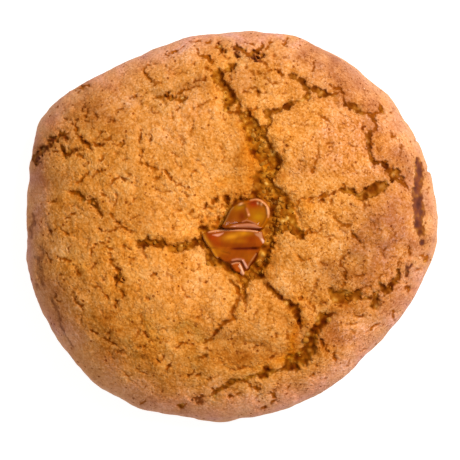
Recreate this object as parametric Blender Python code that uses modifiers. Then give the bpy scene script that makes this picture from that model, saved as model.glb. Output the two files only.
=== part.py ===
"""A round, domed, cracked-top biscuit with two pieces of hard caramel sunk in a hollow at its centre.

Metres, +Z up. The biscuit rests on its flat underside at z = 0, centred on the Z axis; +Y is the side with the
long upper fissure and +X is its longest way across.
"""
import math

import bmesh
import bpy
from mathutils import Euler, Vector, noise

MM = 0.001

# ---- driving sizes -------------------------------------------------------------------------------------------------
LENGTH_X = 75.0 * MM        # longest way across
MEAN_RADIUS = 36.35 * MM    # of the outline
DOME_HEIGHT = 20.4 * MM     # of the dome, before its middle sinks
BELLY_Z = 6.2 * MM          # height at which the side stands out furthest
BASE_RATIO = 0.88           # flat underside, as a share of the outline
DOME_P, DOME_Q = 2.7, 1.85  # fullness of the dome
SINK = 2.2 * MM             # the middle sinks this far, which leaves a broad swollen ring around it
SINK_RADIUS = 12.5 * MM
SINK_CENTRE = (240.0, 235.0)
OUTLINE_CENTRE = (-0.98 * MM, 0.64 * MM)
OUTLINE_LOBES = (           # (lobes around, height, direction in degrees)
    (2, 1.30 * MM, 31.0),
    (3, 0.65 * MM, 58.0),
    (4, 0.45 * MM, -99.0),
    (5, 0.50 * MM, 13.0),
    (7, 0.20 * MM, -56.0),
    (9, 0.15 * MM, -91.0),
)
SWELL = 0.45 * MM           # broad unevenness of the top
SWELL_SCALE = 13.0 * MM

PLAN_UNIT = 0.1816 * MM     # the plan of the cracks and the caramel is drawn in these
PLAN_CENTRE = (231.5, 227.0)
CRACK_DEPTH_RATIO = 2.2     # depth of a fissure over half its width
CRACK_STEP = 1.5 * MM

# Fissures wide enough to be shape, each along its middle: (across, down, width) in plan units.
FISSURES = {
    "upper": ((217, 75, 6), (230, 95, 9), (238, 113, 8), (251, 129, 17), (263, 150, 22), (270, 165, 18), (265, 186, 17), (263, 200, 16)),
    "upper_branch": ((265, 122, 7), (277, 111, 6), (291, 103, 6), (307, 94, 8)),
    "upper_right": ((290, 75, 6), (303, 84, 7), (320, 89, 7), (336, 91, 5), (348, 103, 6), (367, 113, 6), (376, 128, 6), (370, 145, 6), (377, 164, 6), (391, 177, 7), (407, 187, 5)),
    "right": ((325, 198, 5), (342, 190, 6), (357, 195, 6), (373, 190, 10), (386, 185, 6)),
    "right_rim": ((417, 160, 6), (418, 180, 7), (419, 205, 9), (419, 226, 10), (421, 242, 6), (426, 258, 5)),
    "lower_right": ((410, 267, 6), (399, 278, 8), (386, 291, 9), (370, 298, 8), (350, 297, 10), (334, 292, 6)),
    "lower": ((331, 315, 6), (320, 328, 10), (310, 348, 12), (297, 365, 13), (278, 371, 7), (256, 377, 6), (230, 385, 6), (214, 397, 5)),
    "lower_branch": ((268, 284, 6), (279, 296, 8), (291, 307, 10), (298, 322, 6)),
    "left": ((203, 245, 8), (178, 248, 7), (154, 242, 8), (135, 241, 5)),
    "left_upper": ((147, 165, 4), (162, 170, 5), (174, 182, 4), (187, 194, 3)),
    "left_outer": ((73, 193, 3), (87, 199, 5), (98, 207, 5), (104, 216, 3)),
    "middle_right": ((291, 228, 3), (299, 235, 6), (308, 231, 4), (323, 230, 3)),
    "left_rim": ((66, 138, 5), (50, 142, 5), (42, 151, 8), (33, 160, 8)),
    "below": ((244, 279, 7), (245, 303, 5)),
}

# Sunken hollow of crumb around the caramel.
HOLLOW_CENTRE = (247.0, 236.0)
HOLLOW_RADII = (9.4 * MM, 8.2 * MM)
HOLLOW_DEPTH = 2.6 * MM

# Caramel, drawn in plan units.
SHIELD = ((203, 234), (212, 231), (224, 230), (242, 230.5), (256, 232), (262.5, 234), (264, 242), (259, 249), (254, 260),
          (249, 268), (244.5, 277), (238, 272), (230, 264), (220, 258), (213, 254), (207, 242))
LOBE = ((223, 223), (227, 212), (235, 205), (246, 201), (258, 199.5), (267, 204), (271, 213), (269.5, 222), (263, 227.5),
        (250, 226.5), (234, 226))
CARAMEL_THICK = 2.7 * MM
CARAMEL_ROUND = 0.35 * MM
SHIELD_Z, SHIELD_TILT = 17.35 * MM, (math.radians(3.5), math.radians(-2.0))
LOBE_Z, LOBE_TILT = 17.65 * MM, (math.radians(-5.0), math.radians(3.0))
GAP = 0.32 * MM             # between the caramel and the biscuit
SEAM = 0.2 * MM             # each piece of caramel draws back this far from its drawn edge


def plan(px, py):
    return (px - PLAN_CENTRE[0]) * PLAN_UNIT, (PLAN_CENTRE[1] - py) * PLAN_UNIT


def outline(angle):
    return MEAN_RADIUS + sum(h * math.cos(n * angle - math.radians(d)) for n, h, d in OUTLINE_LOBES)


def dome(t):
    """Height of the dome at a share t of the outline."""
    return BELLY_Z + (DOME_HEIGHT - BELLY_Z) * max(0.0, 1.0 - min(t, 1.0) ** DOME_P) ** (1.0 / DOME_Q)


def swell(x, y, t):
    """What the broad unevenness and the sunken middle add to the dome."""
    fade = max(0.0, 1.0 - t ** 3)
    cx, cy = plan(*SINK_CENTRE)
    sink = SINK * math.exp(-((x - cx) ** 2 + (y - cy) ** 2) / SINK_RADIUS ** 2)
    return -sink + SWELL * fade * noise.noise(Vector((x / SWELL_SCALE + 3.1, y / SWELL_SCALE - 1.7, 0.4)))


def top_z(x, y):
    dx, dy = x - OUTLINE_CENTRE[0], y - OUTLINE_CENTRE[1]
    t = math.hypot(dx, dy) / outline(math.atan2(dy, dx))
    return dome(t) + swell(x, y, t)


def profile(s):
    """(share of the outline, height, is it the top) for s from 0 at the middle of the top to 1 under it."""
    if s < 0.68:
        t = math.sin(s / 0.68 * math.pi / 2)
        return t, dome(t), True
    if s < 0.9:
        u = (s - 0.68) / 0.22
        return 1.0 - (1.0 - BASE_RATIO) * u ** 2.2, BELLY_Z * (1.0 - u), False
    return BASE_RATIO * (1.0 - (s - 0.9) / 0.1), 0.0, False


def material(name, colour, rough, coat=0.0):
    mat = bpy.data.materials.new(name)
    mat.use_nodes = True
    shader = mat.node_tree.nodes["Principled BSDF"]
    shader.inputs["Base Color"].default_value = (*colour, 1.0)
    shader.inputs["Roughness"].default_value = rough
    shader.inputs["Metallic"].default_value = 0.0
    shader.inputs["Coat Weight"].default_value = coat
    mat.diffuse_color = (*colour, 1.0)
    return mat


def collection(name):
    coll = bpy.data.collections.new(name)
    bpy.context.scene.collection.children.link(coll)
    return coll


def mesh_object(name, bm, coll, mat=None):
    mesh = bpy.data.meshes.new(name)
    bmesh.ops.recalc_face_normals(bm, faces=bm.faces)
    bm.to_mesh(mesh)
    bm.free()
    obj = bpy.data.objects.new(name, mesh)
    coll.objects.link(obj)
    if mat:
        mesh.materials.append(mat)
    return obj


def as_cutter(obj):
    obj.hide_render = True
    obj.display_type = "WIRE"
    return obj


def cut(target, cutter):
    mod = target.modifiers.new("cut_" + cutter.name, "BOOLEAN")
    mod.operation = "DIFFERENCE"
    mod.solver = "EXACT"
    mod.object = cutter


def biscuit_body(coll, mat):
    bm = bmesh.new()
    bmesh.ops.create_uvsphere(bm, u_segments=88, v_segments=32, radius=1.0)
    for v in bm.verts:
        s = math.acos(max(-1.0, min(1.0, v.co.z))) / math.pi
        angle = math.atan2(v.co.y, v.co.x)
        t, z, is_top = profile(s)
        r = t * outline(angle)
        x, y = OUTLINE_CENTRE[0] + r * math.cos(angle), OUTLINE_CENTRE[1] + r * math.sin(angle)
        v.co = Vector((x, y, z + (swell(x, y, t) if is_top else 0.0)))
    # the outline's box is centred on the axis and brought to its full length
    low = [min(v.co[i] for v in bm.verts) for i in (0, 1)]
    high = [max(v.co[i] for v in bm.verts) for i in (0, 1)]
    k = LENGTH_X / (high[0] - low[0])
    for v in bm.verts:
        v.co.x = (v.co.x - (low[0] + high[0]) / 2) * k
        v.co.y = (v.co.y - (low[1] + high[1]) / 2) * k
    return mesh_object("biscuit", bm, coll, mat)


def along(points):
    """The fissure's points, smoothed and evenly spaced: (x, y, half width)."""
    knots = [(*plan(px, py), w * PLAN_UNIT / 2) for px, py, w in points]
    knots = [knots[0]] + knots + [knots[-1]]
    out = []
    for a, b, c, d in zip(knots, knots[1:], knots[2:], knots[3:]):
        steps = max(1, round(math.dist(b[:2], c[:2]) / CRACK_STEP))
        for i in range(steps):
            u = i / steps
            out.append(tuple(0.5 * (2 * b[k] + (c[k] - a[k]) * u + (2 * a[k] - 5 * b[k] + 4 * c[k] - d[k]) * u ** 2
                                    + (3 * b[k] - a[k] - 3 * c[k] + d[k]) * u ** 3) for k in range(3)))
    out.append(knots[-1])
    return out


def fissure_cutter(name, points, coll):
    """A tapered tube along the surface, taller than it is wide."""
    pts = along(points)
    curve = bpy.data.curves.new("fissure_" + name, "CURVE")
    curve.dimensions = "3D"
    curve.twist_mode = "Z_UP"
    curve.bevel_depth = 1.0 * MM
    curve.bevel_resolution = 2
    curve.use_fill_caps = True
    spline = curve.splines.new("POLY")
    spline.points.add(len(pts) - 1)
    for i, (x, y, half) in enumerate(pts):
        wobble = 1.0 + 0.22 * noise.noise(Vector((x / (2.2 * MM), y / (2.2 * MM), 5.0)))
        end = 0.55 if i in (0, len(pts) - 1) else 1.0
        spline.points[i].co = (x, y, top_z(x, y) / CRACK_DEPTH_RATIO, 1.0)
        spline.points[i].radius = half * wobble * end / MM
    tube = bpy.data.objects.new("tube", curve)
    coll.objects.link(tube)
    bpy.context.view_layer.update()
    mesh = bpy.data.meshes.new_from_object(tube.evaluated_get(bpy.context.evaluated_depsgraph_get()))
    bm = bmesh.new()
    bm.from_mesh(mesh)
    bmesh.ops.remove_doubles(bm, verts=bm.verts, dist=1e-6)
    for v in bm.verts:
        v.co.z *= CRACK_DEPTH_RATIO
    bpy.data.objects.remove(tube)
    bpy.data.curves.remove(curve)
    bpy.data.meshes.remove(mesh)
    return as_cutter(mesh_object("fissure_" + name, bm, coll))


def hollow_cutter(coll):
    bm = bmesh.new()
    bmesh.ops.create_uvsphere(bm, u_segments=28, v_segments=12, radius=1.0)
    cx, cy = plan(*HOLLOW_CENTRE)
    rim_z = top_z(cx, cy)
    for v in bm.verts:
        lump = 1.0 + 0.10 * noise.noise(v.co * 1.7)
        v.co = Vector((cx + v.co.x * HOLLOW_RADII[0] * lump, cy + v.co.y * HOLLOW_RADII[1] * lump,
                       rim_z + v.co.z * HOLLOW_DEPTH))
    return as_cutter(mesh_object("hollow", bm, coll))


def slab(name, points, grow, low, high, z, tilt, coll, mat=None):
    """The drawn outline, moved out by grow, as a tilted slab from low to high about z."""
    flat = [Vector((*plan(px, py), 0.0)) for px, py in points]
    centre = sum(flat, Vector()) / len(flat)
    area = sum(a.x * b.y - b.x * a.y for a, b in zip(flat, flat[1:] + flat[:1]))
    bm = bmesh.new()
    ring = []
    for a, b, c in zip([flat[-1]] + flat[:-1], flat, flat[1:] + flat[:1]):
        n1 = Vector(((b - a).y, -(b - a).x, 0.0)).normalized()
        n2 = Vector(((c - b).y, -(c - b).x, 0.0)).normalized()
        out = (n1 + n2).normalized() * (1.0 if area > 0 else -1.0)
        ring.append(bm.verts.new(b - centre + out * grow + Vector((0.0, 0.0, low))))
    face = bm.faces.new(ring)
    top = bmesh.ops.extrude_face_region(bm, geom=[face])["geom"]
    for v in (g for g in top if isinstance(g, bmesh.types.BMVert)):
        v.co.z = high
    turn = Euler((tilt[0], tilt[1], 0.0)).to_matrix()
    for v in bm.verts:
        v.co = turn @ v.co + Vector((centre.x, centre.y, z))
    return mesh_object(name, bm, coll, mat)


def caramel(name, points, z, tilt, coll, cutters, mat):
    obj = slab(name, points, -SEAM, -CARAMEL_THICK / 2, CARAMEL_THICK / 2, z, tilt, coll, mat)
    bevel = obj.modifiers.new("worn_edges", "BEVEL")
    bevel.width = CARAMEL_ROUND
    bevel.segments = 2
    bevel.limit_method = "ANGLE"
    bevel.angle_limit = math.radians(50)
    seat = as_cutter(slab("seat_" + name, points, GAP - SEAM + 0.05 * MM, -CARAMEL_THICK / 2 - GAP, 8.0 * MM, z, tilt, cutters))
    return obj, seat


def main():
    for obj in list(bpy.data.objects):
        bpy.data.objects.remove(obj)
    parts = collection("cracked_biscuit")
    cutters = collection("cutters")
    crust = material("crust", (0.62, 0.23, 0.045), 0.75)
    amber = material("caramel", (0.45, 0.13, 0.008), 0.12, 0.6)

    biscuit = biscuit_body(parts, crust)
    cut(biscuit, hollow_cutter(cutters))
    for name, points in FISSURES.items():
        cut(biscuit, fissure_cutter(name, points, cutters))

    shield, seat = caramel("caramel_lower", SHIELD, SHIELD_Z, SHIELD_TILT, parts, cutters, amber)
    cut(biscuit, seat)
    lobe, seat = caramel("caramel_upper", LOBE, LOBE_Z, LOBE_TILT, parts, cutters, amber)
    cut(biscuit, seat)

    for obj in (biscuit, shield, lobe):
        obj.data.shade_smooth()
        obj.data.set_sharp_from_angle(angle=math.radians(40))


main()
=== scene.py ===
import math

import bmesh
import bpy
import numpy as np
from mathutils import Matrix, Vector


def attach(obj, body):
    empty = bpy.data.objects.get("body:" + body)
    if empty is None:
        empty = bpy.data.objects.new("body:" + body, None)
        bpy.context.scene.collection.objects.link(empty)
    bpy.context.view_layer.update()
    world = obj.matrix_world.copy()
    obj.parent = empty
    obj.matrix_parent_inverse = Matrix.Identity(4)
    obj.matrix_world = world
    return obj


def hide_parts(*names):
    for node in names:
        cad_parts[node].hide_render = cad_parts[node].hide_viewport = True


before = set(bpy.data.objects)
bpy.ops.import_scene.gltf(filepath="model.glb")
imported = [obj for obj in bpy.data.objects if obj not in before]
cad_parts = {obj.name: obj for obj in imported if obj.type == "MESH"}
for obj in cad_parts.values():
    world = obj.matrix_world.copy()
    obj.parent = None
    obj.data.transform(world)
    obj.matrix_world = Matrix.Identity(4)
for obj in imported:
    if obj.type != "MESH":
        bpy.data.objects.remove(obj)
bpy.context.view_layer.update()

MM = 0.001

# ------------------------------------------------------------------------------------------------------------------
# The biscuit's form, in millimetres, as the solid model has it.
LENGTH_X = 75.0
MEAN_RADIUS = 36.35
DOME_HEIGHT, BELLY_Z, BASE_RATIO = 20.4, 6.2, 0.88
DOME_P, DOME_Q = 2.7, 1.85
SINK, SINK_RADIUS, SINK_CENTRE = 2.2, 12.5, (240.0, 235.0)
OUTLINE_CENTRE = (-0.98, 0.64)
OUTLINE_LOBES = ((2, 1.30, 31.0), (3, 0.65, 58.0), (4, 0.45, -99.0), (5, 0.50, 13.0), (7, 0.20, -56.0), (9, 0.15, -91.0))

# Small dents and swellings of the rim: (direction in degrees, half width in degrees, height in millimetres).
RIM_DETAIL = ((-10, 6, -0.62), (2, 5, -0.12), (-102, 8, -0.55), (-120, 5, -0.38), (-88, 5, -0.25), (-65, 5, -0.30), (-42, 6, -0.20), (-175, 4, -0.36), (-163, 6, 0.42), (-143, 7, -0.25), (-25, 6, 0.25),
              (29, 6, -0.34), (45, 5, -0.30), (70, 6, 0.50), (83, 5, 0.22), (101, 8, 0.68), (112, 4, 0.20), (141, 7, 0.32), (152, 5, 0.48), (168, 5, -0.32), (12, 4, 0.20), (37, 3, 0.1), (-78, 4, -0.12), (-55, 3, -0.1))

# The plan of the cracks, as seen from above: one unit is PLAN_UNIT millimetres at the belly's height.
PLAN_UNIT = 0.1816
PLAN_CENTRE = (231.5, 227.0)
EYE_Z = 600.0               # height of the eye over the table, in millimetres

BED_DEPTH = 0.56
# Wide fissures and hollows: depth before BED_DEPTH in millimetres, width of the walls in plan units, outline (across, down).
BEDS = [
    # the long upper fissure
    (1.25, 2.2, [(211, 74), (213, 71), (216, 69), (219, 68), (222, 70.5), (224, 76), (224, 80), (226, 82), (230, 83.5), (232, 87), (233, 91), (235.5, 94), (236, 97), (239, 100), (238, 103), (235, 105), (232, 106), (230.5, 109), (229, 112), (225, 112), (223, 108), (223, 103), (222, 99), (224, 96), (223, 92), (221, 89), (219, 86), (216, 85), (214, 81), (211.5, 78)]),
    (0.75, 1.6, [(222, 72), (224, 69), (228, 66), (229, 63), (233, 63), (236.5, 64), (236, 67), (233, 69), (232, 72), (228, 73), (224, 73)]),
    (1.15, 2.4, [(237, 110), (238, 116), (239, 121), (242, 123.5), (243, 127), (245, 130), (245, 138), (248, 144), (249.5, 149), (252, 155), (256, 159), (262, 163), (263, 168), (261, 171), (256, 171.5), (253, 176), (253.5, 182), (252, 190), (249, 199), (290, 199), (285, 192), (278, 189), (274, 184), (274, 180), (277, 175), (280, 170), (283, 165), (282, 160), (278.5, 154), (275, 149), (273, 145), (270, 141), (267, 138), (266, 134), (268, 129), (271, 125), (271.5, 119), (268, 118.5), (267, 121.5), (266, 124.5), (262, 126), (259, 125), (256.5, 121), (254.5, 117), (252, 112), (249, 108.5), (244, 110)]),
    (0.9, 1.5, [(263, 110), (267, 110), (271, 110), (275, 107.5), (280, 108.5), (282, 106), (285, 103), (289, 101), (294, 100.5), (299, 99), (303, 98), (306, 94), (308, 91.5), (311, 94), (310, 98), (306, 99.5), (300, 101.5), (295, 103), (292, 106), (289, 109.5), (284, 110.5), (279, 112), (273, 112.5), (271, 115), (271, 119), (270, 124), (268, 124), (268.5, 119), (266, 117.5), (264, 114)]),
    # upper right
    (0.9, 1.5, [(288, 74), (290, 72), (295, 73), (298, 77), (303, 77), (306, 81), (308, 85), (311, 87.5), (314, 86), (318, 85.5), (320, 88), (326, 89), (329, 92), (332, 93.5), (336, 93), (336, 95), (332, 97), (326, 96.5), (321, 97.5), (317, 94), (313, 92.5), (309, 93), (306, 92), (304, 88), (301, 84), (298, 80.5), (292, 79.5), (289, 79)]),
    (0.75, 1.4, [(344, 100), (348, 102.5), (354, 103), (357, 105.5), (361, 108), (364, 111), (367, 113), (362, 114.5), (357, 114), (353, 111), (350, 110.5), (347, 107), (344, 105)]),
    # right
    (1.1, 1.6, [(361, 192), (364, 188), (368, 185.5), (372, 183), (377, 180.5), (382, 180.5), (387, 180), (389, 185), (387.5, 190), (382, 192), (377, 194.5), (372, 197), (367, 200.5), (362, 203), (359.5, 199.5), (356, 197), (352, 195), (348, 193.8), (343, 193.4), (340, 192.6), (339, 190), (341, 188), (345, 187), (351, 187.5), (355, 190.5), (358.5, 194)]),
    (0.45, 2.2, [(416.5, 157), (420, 156.5), (422.5, 161), (423.5, 167), (424, 173), (423.4, 178), (422.5, 184), (422, 189), (422.6, 195), (423.6, 201), (424.6, 206), (425, 211), (424, 216), (423.6, 221), (424.6, 226), (425, 233), (423.6, 238), (420, 238), (416.4, 234), (414, 228), (414, 220), (413.5, 213), (412.8, 206), (413, 198), (413.2, 190), (414.5, 184), (415.2, 178), (415.4, 171), (415, 164)]),
    (0.5, 1.6, [(420.5, 240.5), (424, 239.5), (426, 243), (424, 246.6), (420.6, 245.4)]),
    # lower right
    (0.8, 1.8, [(327, 291), (330, 288), (334, 287), (336.5, 291), (340, 291), (345, 289.5), (350, 291), (353, 291.5), (357, 289.5), (362, 290.5), (361, 294), (363, 297.5), (369, 296), (372.5, 294.5), (373, 297), (370, 300.5), (364, 301), (358, 301), (353, 300.5), (350, 303), (344, 305), (338, 305), (334, 303), (331, 299), (328, 296)]),
    (0.95, 1.5, [(373, 291), (379, 290), (380.5, 296), (379.5, 301), (379.5, 306), (377, 309.5), (373, 310), (370, 307), (371, 301), (373, 297)]),
    (1.0, 1.5, [(378, 284), (380, 281.5), (384, 284), (386.5, 287), (388, 284), (391, 282), (394, 278), (396.5, 273), (398, 268.5), (401.5, 269), (402.5, 276), (401, 281), (397, 284), (394, 287), (392, 292), (389, 295.5), (385, 296), (381, 293), (379, 289)]),
    (0.7, 1.5, [(405.5, 266), (409, 266.5), (412.5, 263.5), (414.5, 264.5), (411, 269), (410, 275), (408, 278.5), (405.5, 276), (405, 270)]),
    # lower fissure
    (1.05, 2.8, [(334, 313.5), (333, 317), (329.5, 322), (327, 325.5), (324, 328.5), (321, 331.5), (318.5, 334), (318, 340), (316.5, 346), (316, 351), (314, 355), (311, 359), (309, 362.5), (306, 365.5), (302, 367), (300, 371.5), (297, 373.5), (293, 371), (289, 372), (283, 372), (278, 371.5), (273.5, 374), (270, 376.5), (267, 380), (264, 381), (261, 378.5), (257, 377), (253, 378), (250, 380), (247, 382.5), (241, 383), (235.5, 383), (232, 385.5), (228, 389), (222, 390.5), (218, 395), (212, 399), (213, 394), (215, 390), (219, 387), (224, 384.5), (227, 382.5), (230, 379.5), (233.5, 378.5), (238, 378), (243, 377.5), (248, 376), (253, 375), (258, 373.5), (262, 370.5), (264, 367.5), (267, 366.5), (271, 367), (272.5, 370), (276, 369.5), (280, 368.5), (284, 365.5), (285, 361), (287, 357), (291, 353.5), (296, 352), (300, 350), (303, 346.5), (304, 342), (304, 336.5), (306, 331.5), (311, 329), (314, 325), (316, 319), (318, 314.5), (321, 311.5), (326, 313.5), (330, 314.5)]),
    # below the caramel
    (1.0, 1.5, [(262, 278), (267, 282), (271, 286.5), (276, 290.5), (280.5, 293.5), (283, 299), (289, 299.5), (293.5, 302), (297, 304.5), (299.5, 310), (301, 316), (302.5, 321), (302.5, 327), (301, 331), (298.5, 327), (296, 321), (293, 315), (290, 311), (287.5, 306), (284.5, 303), (280, 300.5), (275.5, 297), (271, 292.5), (267, 289.5), (264.5, 286)]),
    # left of the caramel
    (1.0, 1.5, [(133, 239), (138, 239.5), (141, 240), (145, 238.5), (147, 236.5), (150, 239), (157, 239), (162, 238.8), (165, 241), (168, 243), (171, 244.8), (177, 243.6), (182, 242.3), (187, 241.5), (191, 242.3), (191, 239), (195, 238.2), (200, 238), (203, 240), (206, 246), (206, 252), (203, 249), (199, 246), (194, 248.5), (190, 249.8), (184, 250.5), (180, 252.8), (175, 253.4), (169.5, 253), (167.5, 250), (169, 246), (164, 247), (160, 249), (154, 248.5), (151, 246.5), (146, 247.4), (144, 250.3), (141, 248), (136, 246.6), (135.5, 243)]),
    # the hollow with the caramel
    (1.6, 2.8, [(234, 199), (240, 196.5), (246, 197), (252, 196), (262, 196), (272, 197), (279, 199), (281, 206), (279, 213), (281, 220), (283, 227), (279, 233), (274, 238), (275.5, 242), (275.5, 246.5), (272, 249.5), (271, 254), (271.5, 260), (270, 263.5), (266.5, 267), (264.5, 271), (265, 278), (262, 281), (256, 279.5), (249, 281.5), (247, 289), (247.5, 297), (246, 303), (242, 302), (241.5, 295), (242, 287), (240.5, 282), (237, 277), (232, 274), (226, 271.5), (222, 267), (217, 266.5), (212, 265.5), (207, 263.5), (205, 257), (205.5, 251), (202, 246), (199, 240), (199, 232), (197, 229), (201, 226.5), (207, 226), (210, 229.5), (216, 227.5), (219, 223), (222, 217), (225, 211), (228, 206)]),
    (1.15, 8.0, [(268, 198), (290, 196), (294, 203), (295, 211), (297, 218), (299.5, 225), (301, 230), (305, 233.5), (304, 239), (299, 240), (296, 235), (291, 231.5), (284, 232), (276, 236), (268, 232), (264, 214)]),
    (1.0, 1.6, [(295, 229), (299, 228.5), (304, 233), (304.5, 238), (300, 240), (296.5, 236)]),
    (1.5, 1.8, [(223, 196.5), (229, 195), (230, 199), (229, 203), (229, 208), (226, 210), (224.5, 204), (223, 200)]),
]
# Places lowered or raised next to the fissures: height in millimetres, width, line (across, down).
ROLLS = [
    (-0.45, 8.0, [(246, 132), (251, 147), (258, 160), (256, 168), (252, 178)]), (-0.35, 7.0, [(284, 322), (296, 340), (290, 350), (276, 360)]),
    (-0.50, 7.0, [(302, 332), (300, 346), (286, 354)]), (-0.35, 6.0, [(220, 92), (219, 105), (230, 116)]), (-0.5, 7.0, [(292, 204), (297, 217), (300, 226)]),
    (-0.45, 7.0, [(278, 238), (276, 252), (273, 264)]), (-0.40, 7.0, [(202, 258), (214, 270), (230, 279)]), (-0.4, 6.0, [(250, 286), (256, 284), (262, 284)]),
    (0.30, 8.0, [(288, 160), (284, 148), (276, 134)]), (0.25, 7.0, [(284, 182), (294, 192)]), (0.28, 7.0, [(324, 338), (320, 354), (310, 366), (300, 376)]),
    (0.22, 6.0, [(285, 286), (292, 296), (304, 308)]), (0.22, 6.0, [(240, 90), (246, 102)]), (0.2, 7.0, [(150, 233), (170, 236), (186, 236)]),
    (-0.35, 6.0, [(310, 300), (318, 306)]), (-0.25, 8.0, [(225, 212), (214, 220), (208, 214)]),
]
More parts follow.
